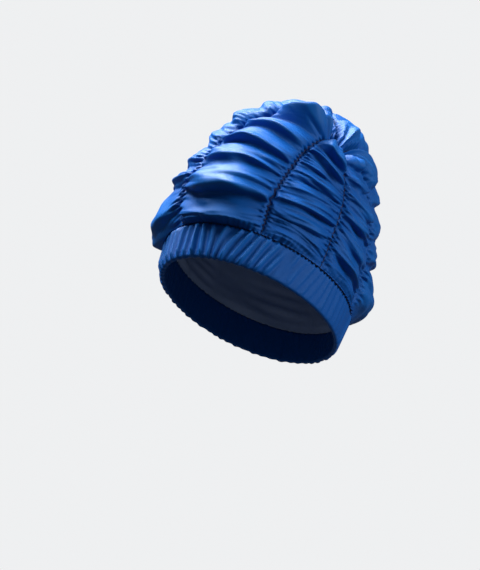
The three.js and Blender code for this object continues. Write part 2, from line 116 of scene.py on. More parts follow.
# The length of the slope below a crease and of the fold's rise beyond its underside (mm),
# and how hollow that slope is in each panel
FOLD_FALL, FOLD_LIFT = 21.0, 13.0
FALL_BENDS = [1.25, 1.25, 1.25, 2.0, 2.0, 2.0, 2.0, 2.0]

# Puff heights of the panels, in millimetres, how far their folds lean downhill, as a
# share of their height, and the height of their pleats at the crown, in millimetres
PUFFS = [10.5, 8.0, 7.4, 3.2, 6.3, 7.0, 4.2, 4.2]
LEANS = [0.5, 0.55, 0.55, 0.25, 0.35, 0.3, 0.2, 0.25]
PLEATS = [0.0, 1.0, 1.0, 2.0, 3.2, 3.2, 2.4, 1.0]
# The narrow rise beside a seam, its height and reach, the distances from the panel's end
# at which the puff starts and is full, the width from which it is full, and how far over
# the puff a crest counts as one, all in mm. The powers that round the puff and a fold's
# rise from seam to seam.
EDGE_PUFF, EDGE_REACH = 4.4, 1.8
PUFF_END, PUFF_FULL, WIDE_PANEL, CREST_OVER = 3.0, 26.0, 45.0, 3.0
PUFF_ROUND, LIFT_ROUND = 0.7, 0.5

# The length over which each panel rises from the band, in millimetres, the power that
# makes that rise start steeply (1) or roundly (2), and how far its lowest fold hangs over
# the band, as a share of its height
FOOT_REACHES = [4.0, 7.0, 7.0, 12.0, 5.0, 5.0, 5.0, 10.0]
FOOT_ROUNDS = [1.0, 1.0, 1.0, 1.8, 1.0, 1.0, 1.0, 2.0]
FOOT_HANGS = [0.3, 0.12, 0.12, 0.15, 0.25, 0.25, 0.25, 0.3]
HANG_REACH, LEAN_REACH = 12.0, 18.0

# The depth and the reach (mm) of the side folds that start at the left and at the right
# seam of each panel. They come as two sets: the number of folds to a main fold, and the
# shares of that depth and of that reach.
SIDE_FOLDS = [
    ((0.8, 23.0), (0.8, 21.0)), ((0.75, 18.0), (0.75, 18.0)), ((0.7, 16.0), (0.7, 16.0)),
    ((0.5, 13.0), (0.6, 15.0)), ((0.7, 15.0), (0.7, 15.0)), ((0.7, 15.0), (0.7, 15.0)),
    ((0.7, 15.0), (0.7, 15.0)), ((0.7, 15.0), (0.85, 22.0)),
]
SIDE_SETS = [(2.0, 1.0, 1.0), (3.3, 0.7, 0.6)]
# The share of a side fold that is its underside, the powers of its upper side and of its
# fading, and how much its place and its reach vary, each with the pitch of its waves, for
# which a main fold counts as this many millimetres
SIDE_UNDER, SIDE_BEND, SIDE_FADE = 0.28, 1.7, 1.6
SIDE_WANDER, SIDE_UNEVEN, SIDE_SCALE = (0.8, 90.0), (0.8, 38.0), 20.0
# The pleats in the top fold of one panel along one of its seams: how many to a main fold,
# their depth and reach (mm), and the shares of the climb between which they set in
PLEATED_PANEL, PLEATED_SIDE = 0, 1
TOP_PLEATS, TOP_PLEAT_DEPTH, TOP_PLEAT_REACH, TOP_PLEAT_START = 4.3, 0.8, 26.0, (0.78, 0.84)

# How far the folds of each panel calm down towards the crown, and how far its main
# creases, all small tucks and all broad creases follow, as shares; the shares of the
# climb between which they do; and the distances from the panel's end (mm) between which
# the crown's pleats take over
CALM_TOPS = [0.6, 0.0, 0.0, 0.8, 0.6, 0.6, 0.9, 0.9]
CALM_CUTS = [0.0, 0.0, 0.0, 0.0, 0.55, 0.55, 0.55, 0.55]
CALM_TUCKS, CALM_BROAD = 0.8, 0.7
CALM_START, CROWN_START = (0.42, 0.58), (52.0, 18.0)

# The pitch and the reach of the small tucks along each seam, in millimetres, their depth,
# the power of their fading, how much they vary and over what pitch, and the share of the
# puff that any tuck takes; the height, place and width of the rolls between them; and the
# distance over which they push the cloth aside
SEAM_TUCKS = [(5.4, 9.0), (5.6, 7.0), (5.6, 7.0), (6.0, 7.0), (6.0, 6.0), (6.0, 6.0), (6.0, 6.0), (6.0, 7.0)]
TUCK_DEPTH, TUCK_FADE, TUCK_UNEVEN, TUCK_CUT = 0.95, 1.4, (0.6, 22.0), 0.9
ROLL_HEIGHT, ROLL_PLACE, ROLL_WIDTH, SWAY_REACH = 1.2, 3.5, 2.6, 3.0

# The gathers along the joint with the band: whose weave they share, their pitch and
# height, how far that height fades, and the depth and reach of the tucks over them
JOINT_WEAVE, JOINT_PITCH, JOINT_HEIGHT, JOINT_FADE = 3, 4.6, 0.7, 2.5
JOINT_TUCK_DEPTH, JOINT_TUCK_REACH = 0.9, 5.0

# Long wrinkles that follow the folds, as numbers to a main fold and heights, with the
# pitches of the waves that bend and that fade them; broad soft creases across them, as a
# height and a pitch; the waves that bend the crown's pleats; and the groove in a seam, as
# a depth and a width. All lengths are in millimetres.
WRINKLES, WRINKLE_BEND, WRINKLE_FADE = [(2.6, 0.8), (4.1, 0.5)], (3.0, 60.0), 40.0
BROAD_HEIGHT, BROAD_PITCH, PLEAT_BEND = 2.0, 14.0, (0.7, 40.0)
GROOVE_DEPTH, GROOVE_FADE = 1.0, 1.3

# How much longer the cloth is than what it is gathered to, and the least and the most
# that a sheet's area can be, as shares of its flat size
PANEL_FULLNESS, BAND_FULLNESS, LINING_FULLNESS = 1.5, 1.3, 1.05
PANEL_AREA, BAND_AREA, LINING_AREA = (0.3, 1.0), (0.0, 0.98), (0.0, 1.0)

# Places where a panel stands out further: its number, the share up the panel, the share
# across it, how far the bulge reaches up (mm) and across (share), its height (mm) and
# how far it hangs down (mm). The hang sets in over the distance from the band that
# follows the table.
BULGES = [
    (0, 0.88, 0.50, 18.0, 0.40, 3.0, 0.0),
    (2, 0.04, 0.85, 12.0, 0.20, 2.0, 2.0),
    (3, 0.16, 0.40, 21.0, 0.50, 9.0, 0.0),
    (3, 0.86, 0.50, 23.0, 0.50, 3.2, 0.0),
    (4, 0.90, 0.50, 23.0, 0.50, 5.3, 0.0),
    (7, 0.02, 0.30, 12.0, 0.45, 0.0, 14.0),
    (7, 0.085, 0.30, 16.0, 0.45, 10.0, 4.0),
    (7, 0.60, 0.50, 32.0, 0.60, 5.5, 0.0),
]
FALL_REACH = 4.0

# The band's grid: columns to a rib, rows of a wall and of the fold. The way round it, in
# band lengths, and the heights of its inner ribs, of the dip of its top edge and of the
# scallops of its rim, in millimetres.
RIB_COLUMNS, BAND_ROWS, FOLD_ROWS = 14, 23, 9
BAND_ROUND, INNER_RIB_DEPTH, TOP_EDGE_DIP, SCALLOP = 2.9, 0.7, 0.7, 0.9
# How often the sines of the ribs' unevenness repeat round the band, how much the ribs
# slant at the front left, and where they are high and where shallow: a place, and how far
# from it that ends and how near it is full, as shares
RIB_WANDERS, RIB_LEANS, RIB_HEIGHTS = (5, 9, 14, 22, 31), (3, 7, 13), (11, 17, 26, 37)
RIB_SLANT, HIGH_RIBS, SHALLOW_RIBS = 1.3, (0.94, 0.22, 0.07), (0.235, 0.15, 0.06)

# The lining's grid and the length round it over which its gathers run, in millimetres
LINING_ROWS, LINING_COLUMNS, LINING_ROUND = 150, 288, 520.0

# The elastics: the thickness of their yarn, the depth at which they lie under the seams
# and the band, their widths, the band elastic's lower edge (mm), their numbers of cords
# and the shares of the climb between which the seam elastics run
YARN, ELASTIC_DEPTH = 0.9 * ELASTIC, CLOTH + LAYER_CLEARANCE + ELASTIC / 2
BAND_ELASTIC_WIDTH, SEAM_ELASTIC_WIDTH, TAPE_WIDTH = 24.0, 5.0, 6.0
BAND_ELASTIC_BOTTOM = 1.0 + LAYER_CLEARANCE
BAND_CORDS, SEAM_CORDS, TAPE_CORDS = 12, 3, 4
SEAM_ELASTIC_RISES, TAPE_RISE = (0.04, 0.9), 0.011
# The crown patch: where it starts, as a share of the climb, its grid, its ruffles' number
# and height (mm), and its thickness (m)
PATCH_START, PATCH_ROWS, PATCH_COLUMNS = 0.925, 13, 96
PATCH_RUFFLES, PATCH_RUFFLE, PATCH_THICKNESS = 24, 0.12, 0.0006
# The stitches: length and radius, distance along the seams and along the joint, and how
# far they stand out there, all in millimetres
STITCH_LENGTH, STITCH_RADIUS = 2.2, 0.3
SEAM_STITCH_PITCH, SEAM_STITCH_LIFT = 2.5, 0.15
JOINT_STITCH_PITCH, JOINT_STITCH_LIFT = 2.6, 0.1

# The pitch of the cloth's weave (mm), the drawn thickness of the film (m), how much
# thicker the band's cloth is, and the blues of the yarns
WEAVE_PITCH, FILM_THICKNESS, BAND_CLOTH_SHARE = 0.45, 0.0003, 1.4
ELASTIC_BLUE, TAPE_BLUE, THREAD_BLUE = (0.02, 0.06, 0.25), (0.012, 0.06, 0.28), (0.003, 0.012, 0.06)

# The camera's aim from the middle of the rim, across and upright in the picture, and the
# lamps' places from the middle of the cap, across, upright and towards the camera, in
# metres. Each lamp's power is the setting of its name.
AIM_ACROSS, AIM_UPRIGHT, SENSOR_WIDTH = -0.0075, 0.0241, 36
CAP_MIDDLE, LAMP_SIZE = Vector((0.0, 0.0, 0.1)), 1.0
LAMPS = {"key": (-0.5, 1.85, -0.75), "fill": (1.8, 0.6, 0.8), "front": (-0.7, 1.9, 0.1)}
FLOOR_HALF, FLOOR_DROP = 3.0, 0.0006


# Surfaces, as arrays of points in millimetres

def smooth(x, start, end):
    """0 before the start, 1 after the end, and a soft ramp between."""
    t = np.clip((x - start) / (end - start), 0, 1)
    return t * t * (3 - 2 * t)


def unit(vectors):
    """The same directions with length 1."""
    return vectors / np.linalg.norm(vectors, axis=-1, keepdims=True)


def run_along(points):
    """The length from the first point to each point, along a row of points."""
    return np.concatenate([[0], np.cumsum(np.linalg.norm(np.diff(points, axis=0), axis=1))])


def ellipse(angle, width, length, height):
    """A point of an ellipse: half the width times the sine of the angle, minus half the
    length times its cosine, at a height. The angle starts at the front."""
    return np.stack([width / 2 * np.sin(angle), -length / 2 * np.cos(angle), height + 0 * angle], -1)


def ellipse_out(angle, width, length):
    """The level direction out of an ellipse."""
    return unit(np.stack([np.sin(angle) / width, -np.cos(angle) / length, 0 * angle], -1))


def dome_point(angle, rise):
    """The dome: a superellipsoid met by a direction that moves on a curve with one
    control direction, from the band (rise 0) to the crown (rise 1), less the dimple
    round the crown, and leaning with its height."""
    angle, rise = np.broadcast_arrays(np.asarray(angle, float), np.asarray(rise, float))
    drop = DOME_CENTRE - BAND_HEIGHT
    foot_share = (1 - (drop / DOME_RISE) ** DOME_FOOT_ROUND) ** (1 / DOME_FOOT_ROUND)
    foot = ellipse(angle, DOME_WIDTH * foot_share, DOME_LENGTH * foot_share, -drop)
    control = unit(foot * [1, 1, 0])
    control[..., 2] = CONTROL_CLIMB
    control = unit(control) * CONTROL_PULL
    q = rise[..., None]
    way = unit(unit(foot) * (1 - q) ** 2 + control * 2 * q * (1 - q) + unit(CROWN) * q ** 2)
    level = np.hypot(way[..., 0] / (DOME_WIDTH / 2), way[..., 1] / (DOME_LENGTH / 2))
    power = np.where(way[..., 2] > 0, DOME_ROUND, DOME_FOOT_ROUND)
    radius = (level ** power + (np.abs(way[..., 2]) / DOME_RISE) ** power) ** (-1 / power)
    point = way * (radius - CROWN_DIMPLE * smooth(rise, DIMPLE_START, 1))[..., None]
    lean = point[..., 2:] / DOME_RISE - DOME_UPRIGHT
    return point + lean * DOME_LEAN + [0, 0, DOME_CENTRE]


def seam_point(angle, rise):
    """The dome, drawn in at its foot to the band's top edge."""
    angle, rise = np.broadcast_arrays(np.asarray(angle, float), np.asarray(rise, float))
    top = ellipse(angle, *BAND_TOP, JOIN_HEIGHT)
    draw_in = (top - dome_point(angle, 0 * rise)) * (1 - smooth(rise, 0, TUCK))[..., None]
    return dome_point(angle, rise) + draw_in


def seam_frame(angle, rise, step=0.002):
    """Unit directions round the ring, up the climb and out of the surface: differences
    of nearby points, and the cross product of the first two, which turns to the crown's
    own direction near the crown."""
    inside = np.clip(rise, step, 1 - 20 * step)
    ring = unit(seam_point(angle + step, inside) - seam_point(angle - step, inside))
    climb = unit(seam_point(angle, inside + step) - seam_point(angle, inside - step))
    out = unit(np.cross(ring, climb))
    near_crown = smooth(rise, 1 - 40 * step, 1)[..., None]
    return ring, climb, unit(out * (1 - near_crown) + unit(CROWN) * near_crown)


EDGE_TURNS = np.linspace(0, FULL_TURN, 1441)
EDGE_RUN = run_along(ellipse(EDGE_TURNS, *BAND_TOP, 0))


def angle_at(share):
    """The angle that lies a share of the way round the band."""
    whole = np.floor(share)
    return FULL_TURN * whole + np.interp((share - whole) * EDGE_RUN[-1], EDGE_RUN, EDGE_TURNS)


def climb_lengths(angle, rises, samples=600):
    """Lengths along one climb from the band to each rise, in millimetres."""
    fine = np.linspace(0, 1, samples)
    return np.interp(rises, fine, run_along(seam_point(angle + 0 * fine, fine)))


def waves(rng, x, y, pitch, count=5):
    """Soft unevenness: a mean of plane waves of about one pitch in random directions."""
    total = 0 * x
    for _ in range(count):
        turn, phase = rng.uniform(0, FULL_TURN, 2)
        size = pitch * rng.uniform(0.7, 1.5)
        total = total + np.sin(FULL_TURN * (x * np.cos(turn) + y * np.sin(turn)) / size + phase)
    return total / count


def seam_weave(index, along, pitch):
    """How the tucks alternate along a seam: the cosine of the length along it over the
    pitch, with a slow seeded wander. Where it is 1, the tuck of the panel to the right
    of the seam is full, and where it is -1, that of the panel to its left."""
    rng = np.random.default_rng(900 + index % SEAM_COUNT)
    wander = waves(rng, along, 0 * along, pitch * 5, 5)
    return np.cos(FULL_TURN * (along / pitch + 0.9 * wander))


# The gathered panels

def joint_weave(angle):
    """How the gathers alternate round the joint of the panels and the band: the seams'
    weave over the length round the band."""
    return seam_weave(JOINT_WEAVE, BAND_LENGTH / 2 * np.asarray(angle), JOINT_PITCH)


def joint_wave(angle):
    """How far those gathers move the joint up, in millimetres."""
    return JOINT_HEIGHT * joint_weave(angle)


def seam_angle(number, rise):
    """The angle of a seam at each rise: its place round the band, moved by its table of
    sideways shifts. Number 8 is the first seam again, one turn further."""
    index = number % SEAM_COUNT
    angle = angle_at(SEAM_SHARES[index] + number // SEAM_COUNT)
    if index not in SEAM_SHIFTS:
        return angle + 0 * rise
    share = climb_lengths(angle, rise) / climb_lengths(angle, 1.0)
    return angle + np.mean([np.interp(share + step, *SEAM_SHIFTS[index]) for step in SHIFT_NEAR], axis=0)


def panel_creases(index):
    """The main creases of one panel: those read from the photograph, or evenly spread
    ones whose ends and middle depths wander by sines of their number."""
    if index in MAIN_CREASES:
        return MAIN_CREASES[index]
    count, first, last = CREASE_COUNTS[index]
    place = np.arange(count)
    share = (place + first) / (count - 1 + first + last)
    left = share + CREASE_WANDER * np.sin(2.4 * place + index)
    right = share + CREASE_WANDER * np.sin(1.7 * place + 2 * index)
    middle = 0.75 + 0.25 * np.sin(1.9 * place + index)
    return [(left[k], right[k], EVEN_DEPTH, middle[k], EVEN_DEPTH, EVEN_UNDER, EVEN_UNDER, EVEN_STAND)
            for k in range(count)]


def crease_lines(index, across, climb, rng):
    """The share of the climb at which each crease lies, at each place across: a straight
    line from seam to seam with a small seeded bow and a smaller double bow."""
    lines = []
    for left, right, *_ in panel_creases(index):
        line = left + (right - left) * across
        line = line + rng.normal(0, CREASE_BOW / climb) * np.sin(np.pi * across)
        lines.append(line + rng.normal(0, CREASE_DOUBLE_BOW / climb) * np.sin(FULL_TURN * across))
    return lines


def fan_number(lines, share):
    """A number that counts the creases up the panel and stays the same along a fold: one
    more at each crease, and in between in proportion to the way from one to the next."""
    stops = [0 * share, *lines, 1 + 0 * share]
    return sum(np.clip((share - low) / (high - low), 0, 1) for low, high in zip(stops[:-1], stops[1:]))


def crease_cut(index, lines, share, length, across):
    """How deep the creases cut the puff, 0 to 1, and how much the folds stand out over
    it. From a crease's line the cloth climbs in a straight slope over the underside of
    the fold above, and falls away below in a long bent slope. The deepest cut counts."""
    cut, lift = np.zeros_like(share), np.zeros_like(share)
    for line, crease in zip(lines, panel_creases(index)):
        deep_left, deep_middle, deep_right, under_left, under_right, stand = crease[2:]
        depth = np.where(
            across < 0.5,
            deep_left + (deep_middle - deep_left) * smooth(across, 0, 0.5),
            deep_middle + (deep_right - deep_middle) * smooth(across, 0.5, 1),
        )
        under = under_left + (under_right - under_left) * across
        off = (share - line) * length
        above = np.clip(1 - off / under, 0, 1)
        below = np.clip(1 + off / FOLD_FALL, 0, 1) ** FALL_BENDS[index]
        cut = np.maximum(cut, depth * np.where(off > 0, above, below))
        past = np.maximum(off - under, 0) / FOLD_LIFT
        lift = lift + stand * depth * np.exp(-past ** 2) * np.clip(off / under, 0, 1)
    return cut, lift


def soften(values, times):
    """A running mean of each row with its neighbours, taken several times."""
    for _ in range(times):
        inner = (values[:-2] + 2 * values[1:-1] + values[2:]) / 4
        values = np.concatenate([values[:1], inner, values[-1:]], 0)
    return values


def side_cut(fan, off_seam, rng, folds, reach):
    """Smaller folds that start at a seam and follow the large ones: a number of them to
    each large fold, each with a steep underside and a long bent upper side, of uneven
    places and reach, dying away with the distance from the seam."""
    up, level = SIDE_SCALE * fan, 0 * fan
    wander = SIDE_WANDER[0] * waves(rng, up, level, SIDE_WANDER[1], 3)
    phase = np.mod(fan * folds + wander + rng.uniform(), 1.0)
    upper = np.clip((phase - SIDE_UNDER) / (1 - SIDE_UNDER), 0, 1) ** SIDE_BEND
    valley = np.where(phase < SIDE_UNDER, 1 - phase / SIDE_UNDER, upper)
    uneven = 1 + SIDE_UNEVEN[0] * waves(rng, up, level, SIDE_UNEVEN[1], 3)
    return valley * np.exp(-(off_seam / (reach * np.maximum(uneven, 0.25))) ** SIDE_FADE)


def panel_grid(index, settings, samples=500, bunching=0.45):
    """The grid of one panel on the seam surface, with even rows up the climb and columns
    that are closer at the seams. It holds the shares and the lengths (mm) up and across
    the panel, the surface's points and directions, and how far its folds may rise."""
    left, right = (angle_at(place) for place in SEAM_PLACES[index:index + 2])
    rise_fine = np.linspace(0, settings.panel_end, samples)
    middle = climb_lengths((left + right) / 2, rise_fine)
    rows = int(round(middle[-1] / settings.grid_pitch))
    rise = np.interp(np.linspace(0, middle[-1], rows + 1), middle, rise_fine)
    even = np.linspace(0, 1, settings.grid_columns + 1)
    g = SimpleNamespace()
    g.across, rises = np.meshgrid(bunching * (1 - np.cos(np.pi * even)) / 2 + (1 - bunching) * even, rise)

    def between(first, last):
        """From a value at the left seam, in proportion, to one at the right seam."""
        return first * (1 - g.across) + last * g.across

    g.angle = between(seam_angle(index, rise)[:, None], seam_angle(index + 1, rise)[:, None])
    g.climbs = [climb_lengths(angle, rise)[:, None] + 0 * g.across for angle in (left, right)]
    ends = [climb_lengths(angle, 1.0) for angle in (left, right)]
    g.share = between(g.climbs[0] / ends[0], g.climbs[1] / ends[1])
    g.length = between(*ends)
    g.along = g.share * g.length
    g.to_end = g.length - g.along
    g.base = seam_point(g.angle, rises)
    g.ring, g.climb, g.out = seam_frame(g.angle, rises)
    steps = np.linalg.norm(np.diff(g.base, axis=1), axis=-1)
    g.run = np.concatenate([np.zeros((rows + 1, 1)), np.cumsum(steps, 1)], 1)
    width = g.run[:, -1:]
    g.offs = g.run, width - g.run
    g.off_seam = np.minimum(*g.offs)
    g.wide = np.minimum(1, width / WIDE_PANEL)
    g.crown = smooth(g.to_end, *CROWN_START)
    g.calm = 1 - CALM_TOPS[index] * smooth(g.share, *CALM_START)
    g.edge = 1 - np.exp(-np.maximum(g.off_seam - settings.groove_width / 2, 0) / EDGE_REACH)
    g.foot = 1 - np.exp(-(np.maximum(g.along, 0) / FOOT_REACHES[index]) ** FOOT_ROUNDS[index])
    g.top = smooth(g.to_end, PUFF_END, PUFF_FULL)
    return g


def panel_cut(index, g, rng):
    """The main creases of one panel: how deep they cut and how much the folds stand out,
    blunted here and there by a seeded pattern, and the number of the fold at each point."""
    bent = g.share + CREASE_BEND * waves(rng, g.along, g.run, BEND_PITCH) / g.length
    lines = crease_lines(index, g.across, float(np.mean(g.length)), rng)
    fan = fan_number(lines, bent)
    cut, lift = crease_cut(index, lines, bent, g.length, g.across)
    blunt = smooth(waves(rng, g.along, g.run, BLUNT_PITCH), -0.3, 0.3)
    cut = soften(cut, SHARP_TIMES) * (1 - blunt) + soften(cut, BLUNT_TIMES) * blunt
    return cut * (1 - CALM_CUTS[index] * (1 - g.calm)), soften(lift, BLUNT_TIMES), fan


def panel_tucks(index, g, fan, rng, settings):
    """What happens along both seams and the band: how deep the side folds and the tucks
    cut, 0 to 1, how high the rolls between the tucks stand, as a share, and how far the
    seam's gap and its tucks push the cloth sideways, in millimetres."""
    tucks, sway, roll = 0 * fan, 0 * fan, 0 * fan
    for side, (off, climb, (depth, reach)) in enumerate(zip(g.offs, g.climbs, SIDE_FOLDS[index])):
        facing = 1 if side == 0 else -1
        for folds, depth_share, reach_share in SIDE_SETS:
            folded = side_cut(fan, off, rng, folds, reach_share * reach)
            tucks = np.maximum(tucks, depth_share * depth * g.calm * folded * (1 - g.crown))
        if (index, side) == (PLEATED_PANEL, PLEATED_SIDE):
            pleated = side_cut(fan, off, rng, TOP_PLEATS, TOP_PLEAT_REACH)
            pleated = pleated * smooth(g.share, *TOP_PLEAT_START) * smooth(g.to_end, 1, 7)
            tucks = np.maximum(tucks, TOP_PLEAT_DEPTH * pleated)
        pitch, tuck_reach = SEAM_TUCKS[(index + side) % SEAM_COUNT]
        weave = seam_weave(index + side, climb, pitch)
        uneven = 1 + TUCK_UNEVEN[0] * waves(rng, climb, 0 * off, TUCK_UNEVEN[1], 4)
        small = (0.5 + 0.5 * facing * weave) * np.exp(-(off / (tuck_reach * uneven)) ** TUCK_FADE)
        calmed = (1 - 0.6 * g.crown) * (1 - CALM_TUCKS * (1 - g.calm))
        tucks = np.maximum(tucks, TUCK_DEPTH * small * calmed)
        beside = np.exp(-((off - ROLL_PLACE) / ROLL_WIDTH) ** 2)
        roll = roll + g.calm * (0.5 - 0.5 * facing * weave) * uneven * beside
        push = settings.seam_gap / 2 * facing - settings.seam_sway * weave
        sway = sway + push * np.exp(-off / SWAY_REACH)
    joint = (0.5 + 0.5 * joint_weave(g.angle[:1])) * np.exp(-(g.along / JOINT_TUCK_REACH) ** TUCK_FADE)
    return np.maximum(tucks, JOINT_TUCK_DEPTH * joint), roll, sway


def panel_puff(index, g, lift, settings):
    """The height of the puff before anything cuts it, which rises steeply from both seams
    and from the band, and how far its bulges hang down, all in millimetres."""
    swell = PUFFS[index] * settings.puff_share * g.wide * np.sin(np.pi * g.across) ** PUFF_ROUND
    puff = swell + EDGE_PUFF * g.edge + lift * np.sin(np.pi * g.across) ** LIFT_ROUND
    puff = puff * g.foot * g.top
    hang = 0 * puff
    for number, share, across, reach_up, reach_across, height, fall in BULGES:
        if number == index:
            up, level = (g.share - share) * g.length / reach_up, (g.across - across) / reach_across
            bulge = np.exp(-up ** 2 - level ** 2) * g.edge
            puff = puff + height * bulge * g.foot
            hang = hang + fall * bulge * (1 - np.exp(-g.along / FALL_REACH))
    return puff, hang


def panel_height(index, g, settings):
    """The height of the cloth over the seam surface, how far it is pushed sideways and
    how far its bulges hang down: the puff less what the creases and the tucks cut, with
    rolls, wrinkles, broad creases, the crown's pleats and a groove in both seams."""
    rng = np.random.default_rng(40 + index)
    cut, lift, fan = panel_cut(index, g, rng)
    tucks, roll, sway = panel_tucks(index, g, fan, rng, settings)
    puff, hang = panel_puff(index, g, lift, settings)
    loose = g.edge * g.top * (1 - g.crown)
    height = puff * (1 - settings.crease_depth * cut) * (1 - TUCK_CUT * tucks)
    height = height + ROLL_HEIGHT * roll * g.wide ** 2 * g.foot * g.top * (1 - g.crown)
    for folds, size in WRINKLES:
        bend = WRINKLE_BEND[0] * waves(rng, g.along, g.run, WRINKLE_BEND[1])
        wrinkle = np.sin(FULL_TURN * fan * folds + bend)
        patchy = 0.35 + 2.0 * waves(rng, g.along, g.run, WRINKLE_FADE) ** 2
        height = height + size * wrinkle * patchy * loose * g.foot * g.calm
    broad = waves(rng, g.along + 0.35 * g.run, 0.45 * g.run, BROAD_PITCH, 6)
    height = height + BROAD_HEIGHT * broad * loose * smooth(g.along, 1, 7) * (1 - CALM_BROAD * (1 - g.calm))
    phase = FULL_TURN * (settings.crown_pleats * g.across + rng.uniform())
    pleat = np.cos(phase + PLEAT_BEND[0] * waves(rng, g.along, g.run, PLEAT_BEND[1]))
    height = height + PLEATS[index] * g.crown * pleat * g.edge * smooth(g.to_end, 0, 8)
    height = height - GROOVE_DEPTH * np.exp(-(g.off_seam / GROOVE_FADE) ** 2) * g.foot
    return height, sway * g.top * g.foot, hang


def clear_of_band(point, angle, rib_depth, gap=1.0):
    """The points, moved outwards where they hang over the band and would touch its ribs
    or come within the gap of them."""
    outward = ellipse_out(angle, BAND_WIDTH, BAND_LENGTH)
    clear = ((point - ellipse(angle, *BAND_TOP, 0)) * outward).sum(-1)
    need = np.maximum(0, rib_depth + gap - clear) * smooth(JOIN_HEIGHT + 0.5 - point[..., 2], 0, 1.5)
    return point + outward * need[..., None]


def turned_in(point, out, turn):
    """The points with one more row or column along each edge, turned inwards as the seam
    allowance."""
    point = np.concatenate([point[:1] - out[:1] * turn, point, point[-1:] - out[-1:] * turn], 0)
    out = np.concatenate([out[:1], out, out[-1:]], 0)
    return np.concatenate([point[:, :1] - out[:, :1] * turn, point, point[:, -1:] - out[:, -1:] * turn], 1)


def panel_surface(index, settings):
    """One gathered panel: the seam surface moved out by the height of the cloth, pushed
    sideways along the seams, and leaning downhill by a share of that height. With its
    points come the place of each on the flat cloth and how near it is to a crest."""
    g = panel_grid(index, settings)
    height, sway, hang = panel_height(index, g, settings)
    point = g.base + g.out * height[..., None] + g.ring * sway[..., None]
    lean = settings.lean * LEANS[index] * smooth(g.along, 0, LEAN_REACH)
    lean = lean + FOOT_HANGS[index] * np.exp(-g.along / HANG_REACH)
    joint = joint_wave(g.angle[:1]) * np.exp(-g.along / JOINT_FADE)
    point = point - g.climb * (lean * height + hang - joint)[..., None]
    point = clear_of_band(point, g.angle, settings.rib_depth)
    point = turned_in(point, g.out, settings.allowance)
    # How near each point is to a crest; the cloth's material paints a paler highlight there.
    crest = np.clip(height / (PUFFS[index] * settings.puff_share + CREST_OVER), 0, 1)
    flat = np.stack([g.run, g.along * PANEL_FULLNESS], -1) * MM
    return point * MM, np.pad(flat, ((1, 1), (1, 1), (0, 0)), mode="edge"), np.pad(crest, 1, mode="edge")


# The band, the elastics, the lining and the threads

def band_point(angle, z, height):
    """The band's outside between the ribs: an ellipse that widens with its height, moved
    outwards by a height."""
    flare = 2 * BAND_FLARE * z / BAND_HEIGHT
    size = BAND_WIDTH + flare, BAND_LENGTH + flare
    return ellipse(angle, *size, z) + ellipse_out(angle, *size) * height[..., None]


def near_place(share, place, far, near):
    """1 near a place round the band, and 0 further from it than far, all as shares."""
    return smooth(np.abs((share - place + 0.5) % 1 - 0.5), far, near)


def rib_shape(share, up, settings):
    """How far the gathered casing stands out, 0 to about 1: half of one minus the cosine
    of the ribs' number times the share round the band, to a power, and a low ridge beside
    each rib. Seeded sines make the ribs wander, lean and differ in height."""
    rng = np.random.default_rng(7)
    turn = FULL_TURN * share

    def sines(repeats):
        """A sum of sines that repeat so often round the band, each from a seeded start."""
        return sum(np.sin(k * turn + rng.uniform(0, 6)) for k in repeats)

    wander = sum(rng.uniform(0.5, 1) * np.sin(k * turn + rng.uniform(0, 6)) / (0.4 * k) for k in RIB_WANDERS)
    lean = 0.2 * sines(RIB_LEANS)
    slant = RIB_SLANT * smooth(share, 0.0, 0.05) * (1 - smooth(share, 0.16, 0.26))
    phase = FULL_TURN * (settings.rib_count * share + 0.4 * wander + (lean - slant) * (up - 0.5))
    front = near_place(share, *HIGH_RIBS)
    rib = (0.5 - 0.5 * np.cos(phase)) ** (0.85 + 0.7 * front)
    ridge = 0.15 * (1 - np.abs(np.cos(phase + 1.1)) ** 1.2)
    uneven = 0.85 + 0.2 * sines(RIB_HEIGHTS) + 0.8 * front
    return (rib + ridge) * uneven * (1 - 0.6 * near_place(share, *SHALLOW_RIBS)) / 1.2


def band_surface(settings):
    """The casing: one strip of cloth down the outside, round the fold at the rim and up
    the inside. Its outer wall stands out by the ribs, its inner wall by lower ones, and
    its rim is scalloped where a rib ends."""
    columns = settings.rib_count * RIB_COLUMNS
    depth = 2 * LAYER_CLEARANCE + 2 * CLOTH + ELASTIC
    fold = depth / 2
    down = np.linspace(BAND_HEIGHT, fold, BAND_ROWS)
    bend = np.linspace(0, np.pi, FOLD_ROWS)[1:-1]
    z = np.concatenate([down, fold - fold * np.sin(bend), down[::-1]])
    height = np.concatenate([0 * down, -fold + fold * np.cos(bend), 0 * down - depth])
    inside = np.concatenate([0 * down, bend / np.pi, 0 * down + 1])
    S, Z = np.meshgrid(np.arange(columns) / columns, z)
    inner, outer = inside[:, None], 1 - inside[:, None]
    rib = rib_shape(S, Z / BAND_HEIGHT, settings)
    at_join = smooth(Z, BAND_HEIGHT - 4, BAND_HEIGHT)
    gathered = 0.35 + 0.65 * smooth(Z, 0, 6) * (1 - at_join)
    stand = settings.rib_depth * rib * gathered * outer
    stand = stand + INNER_RIB_DEPTH * (rib - 0.5) * gathered * inner * smooth(Z, 0, 5)
    stand = stand - TOP_EDGE_DIP * smooth(Z, BAND_HEIGHT - 1.6, BAND_HEIGHT) * outer
    scallop = SCALLOP * (1 - np.clip(rib, 0, 1)) * (1 - smooth(Z, 0, 5))
    angle = angle_at(S)
    points = band_point(angle, Z + scallop + joint_wave(angle) * at_join, height[:, None] + stand)
    around = BAND_LENGTH * BAND_ROUND * S
    run = np.concatenate([[0], np.cumsum(np.hypot(np.diff(z), np.diff(height)))])[:, None] + 0 * S
    # How near each point is to a rib's crest; the cloth's material paints a paler highlight there.
    crest = np.clip(rib * gathered * outer, 0, 1)
    flat = np.stack([around * BAND_FULLNESS, run], -1) * MM
    return points[::-1] * MM, flat[::-1], crest[::-1]


